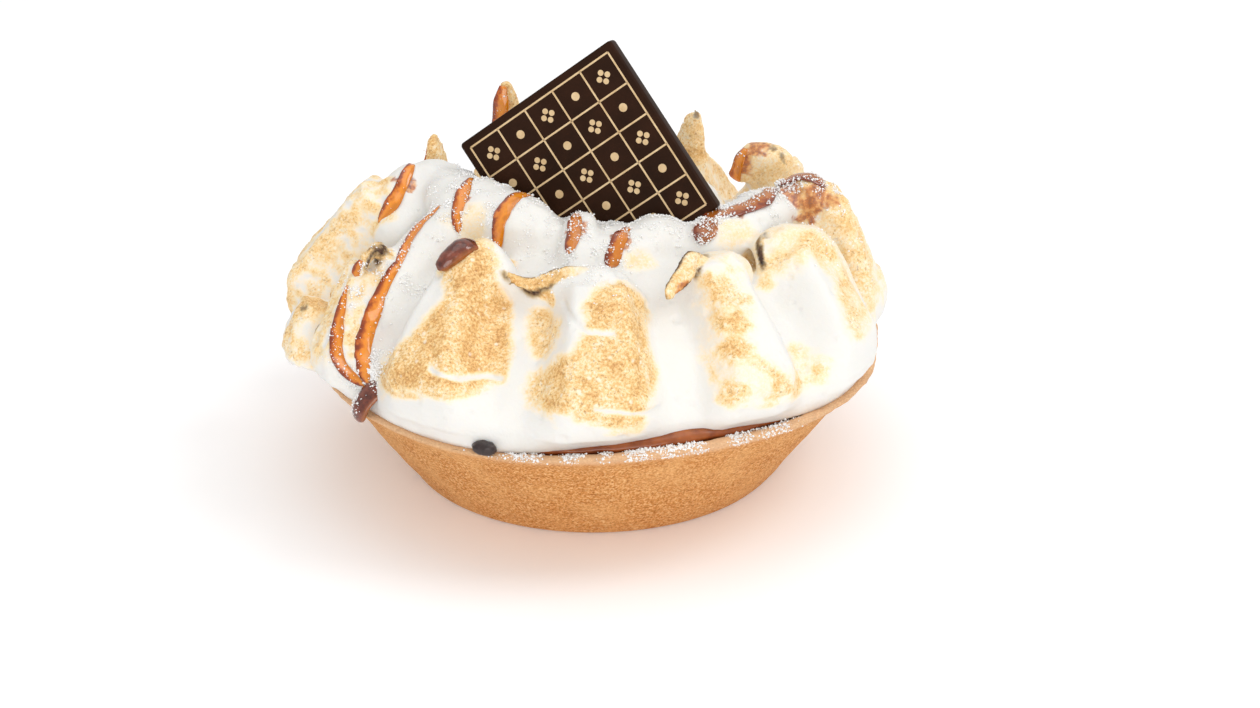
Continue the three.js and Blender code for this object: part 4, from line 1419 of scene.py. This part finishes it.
def meringue_material():
    paint = Shader("torched_meringue", Roughness=0.5, Subsurface_Weight=0.25, Subsurface_Scale=1.5 * MM)
    paint.surface.inputs["Subsurface Radius"].default_value = (1.0, 0.8, 0.6)
    toast = paint.value("toast")
    blotch = paint.span(paint.noise(3.5, 3), 0.3, 0.7, 0.42, 0.85)
    foam = paint.span(paint.noise(0.45, 4, 0.7), 0.3, 0.7, -0.34, 0.34)
    browned = paint.math("MULTIPLY", toast, paint.math("ADD", blotch, foam), clamp=True)
    stops = [(0, "e8e6e1"), (0.12, "f3e8d6"), (0.3, "f6dfb4")]
    stops += [(0.55, "f0cb8e"), (0.8, "e0b06c"), (1, "c89254")]
    colour = paint.ramp(browned, stops)
    dots = paint.span(paint.noise(0.5, 3, 0.6), 0.56, 0.68)
    pepper = paint.math("MULTIPLY", dots, paint.span(toast, 0.3, 0.8, 0, 0.6))
    colour = paint.mix(pepper, colour, linear("aa763e"))
    rounds = paint.span(paint.cells(2.4), 0.08, 0.2, 1, 0)
    bubbles = paint.math("MULTIPLY", rounds, paint.span(toast, 0.2, 0.6, 0, 0.6))
    colour = paint.mix(bubbles, colour, linear("fbf3e2"))
    syrup = paint.ramp(paint.noise(0.9, 3), [(0.35, "8a3c18"), (0.5, "c06a2c"), (0.65, "e8b070")])
    colour = paint.mix(paint.span(paint.value("stain"), 0.1, 0.9, 0, 0.85), colour, syrup)
    colour = paint.mix(paint.value("burn"), colour, paint.mottle(0.8, "1e100a", "5a341c", 0.35))
    return paint.set(Base_Color=colour, Normal=paint.bump(paint.noise(0.5, 4, 0.7), 0.1))


def crust_material():
    paint = Shader("shortcrust", Roughness=0.8, Specular_IOR_Level=0.25)
    fine = paint.noise(0.4, 3, 0.65)
    wrinkles = paint.noise(3, 4, 0.7, CRUST_STRETCH)
    colour = paint.ramp(fine, [(0.3, "a0581e"), (0.5, "dc9650"), (0.7, "fad49c")])
    colour = paint.mix(paint.span(wrinkles, 0.52, 0.68, 0, 0.6), colour, linear("b8722e"))
    colour = paint.mix(paint.span(paint.noise(8, 3), 0.4, 0.7, 0, 0.4), colour, linear("f0b878"))
    colour = paint.mix(paint.span(paint.value("lip"), 0.2, 1, 0, 0.6), colour, linear("f0caa4"))
    return paint.set(Base_Color=colour, Normal=paint.bump(wrinkles, 0.6, 0.8, paint.bump(fine, 0.3)))


def filling_material():
    paint = Shader("lemon_filling_gloss", Roughness=0.2, Subsurface_Weight=0.2, Subsurface_Scale=1 * MM)
    return paint.set(Base_Color=paint.mottle(3, "7a3a18", "a85c28"))


def caramel_material():
    gloss = dict(Roughness=0.12, Coat_Weight=0.5)
    paint = Shader("amber_caramel", Subsurface_Weight=0.15, Subsurface_Scale=1 * MM, **gloss)
    across = paint.value("across")
    uneven = paint.span(paint.noise(1.5), 0.3, 0.7, -0.3, 0.3)
    # Colour across each thread: amber caramel, with painted shade darkening the edge at across -1 and a
    # painted glow of light through the amber brightening it past the middle
    side = paint.span(paint.math("ADD", across, uneven), -1, 1)
    stops = [(0, "7c2e0a"), (0.14, "b4540e"), (0.3, "dc7e20")]
    stops += [(0.6, "ee9224"), (0.85, "e4881a"), (1, "cc7814")]
    thick = paint.span(paint.math("ABSOLUTE", across), 0.6, 1, 1, 0.7)
    darkness = paint.math("MULTIPLY", paint.value("dark"), thick)
    dark = paint.mottle(1.2, "4e1c0e", "84402a", 0.35)
    return paint.set(Base_Color=paint.mix(darkness, paint.ramp(side, stops), dark))


def sugar_material():
    paint = Shader("icing_sugar", Roughness=0.8, Specular_IOR_Level=0.2)
    return paint.set(Base_Color=paint.mottle(1.5, "f8f6f3", "ffffff", detail=2))


def burnt_material():
    paint = Shader("burnt_sugar", Roughness=0.35)
    colour = paint.mottle(0.8, "1e1412", "3a2a28")
    return paint.set(Base_Color=colour, Normal=paint.bump(paint.noise(0.5), 0.1))


def chocolate_material():
    paint = Shader("dark_chocolate", Roughness=0.45, Specular_IOR_Level=0.1)
    colour = paint.mottle(6, "241206", "321a0c", detail=4)
    return paint.set(Base_Color=colour, Normal=paint.bump(paint.noise(2.5, 3), 0.03))


def print_material():
    paint = Shader("cream_cocoa_butter", Roughness=0.45)
    return paint.set(Base_Color=paint.mottle(2, "c9a878", "e2c69a"))


def floor_material():
    paint = Shader("pale_floor", Roughness=0.6, Emission_Color=(1, 1, 1, 1), Emission_Strength=FLOOR_GLOW)
    return paint.set(Base_Color=paint.mottle(60, "f8f9fa", "fbfbfc", detail=2))


# Studio

def studio():
    bpy.ops.mesh.primitive_plane_add(size=FLOOR_SIZE)
    floor = bpy.context.object
    floor.name = "floor"
    floor.data.materials.append(floor_material())
    world = bpy.data.worlds.new("studio")
    world.use_nodes = True
    world.node_tree.nodes["Background"].inputs["Color"].default_value = (1, 1, 1, 1)
    world.node_tree.nodes["Background"].inputs["Strength"].default_value = WORLD_LIGHT
    bpy.context.scene.world = world
    for name, place, size, power in LIGHTS:
        lamp = bpy.data.lights.new(name, "AREA")
        lamp.size = size
        lamp.energy = power
        light = bpy.data.objects.new(name, lamp)
        light.location = place
        aim = Vector(LIGHT_AIM) - Vector(place)
        light.rotation_euler = aim.to_track_quat("-Z", "Y").to_euler()
        bpy.context.scene.collection.objects.link(light)
    bpy.context.scene.view_settings.view_transform = "Standard"
    bpy.context.scene.view_settings.exposure = EXPOSURE


def camera():
    lens = bpy.data.cameras.new("camera")
    lens.sensor_width = SENSOR
    lens.lens = SENSOR * FOCAL_PIXELS / IMAGE_WIDTH
    lens.clip_start = CLIP_START * MM
    view = bpy.data.objects.new("camera", lens)
    view.location = np.array(CAMERA_PLACE) * MM
    view.rotation_euler = (math.radians(90 - CAMERA_PITCH), 0, 0)
    bpy.context.scene.collection.objects.link(view)
    bpy.context.scene.camera = view


studio()
camera()
petal_points, petal_faces = meringue_piece()
cup_points = pastry_piece()
filling_piece()
bead_piece()
plaque_piece()
print_piece()
petal_tree = BVHTree.FromPolygons(petal_points.tolist(), petal_faces.tolist())
caramel = caramel_piece(petal_tree)
sugar_piece(sugar_places(petal_points, petal_faces), caramel_places(*caramel), rim_places(cup_points))
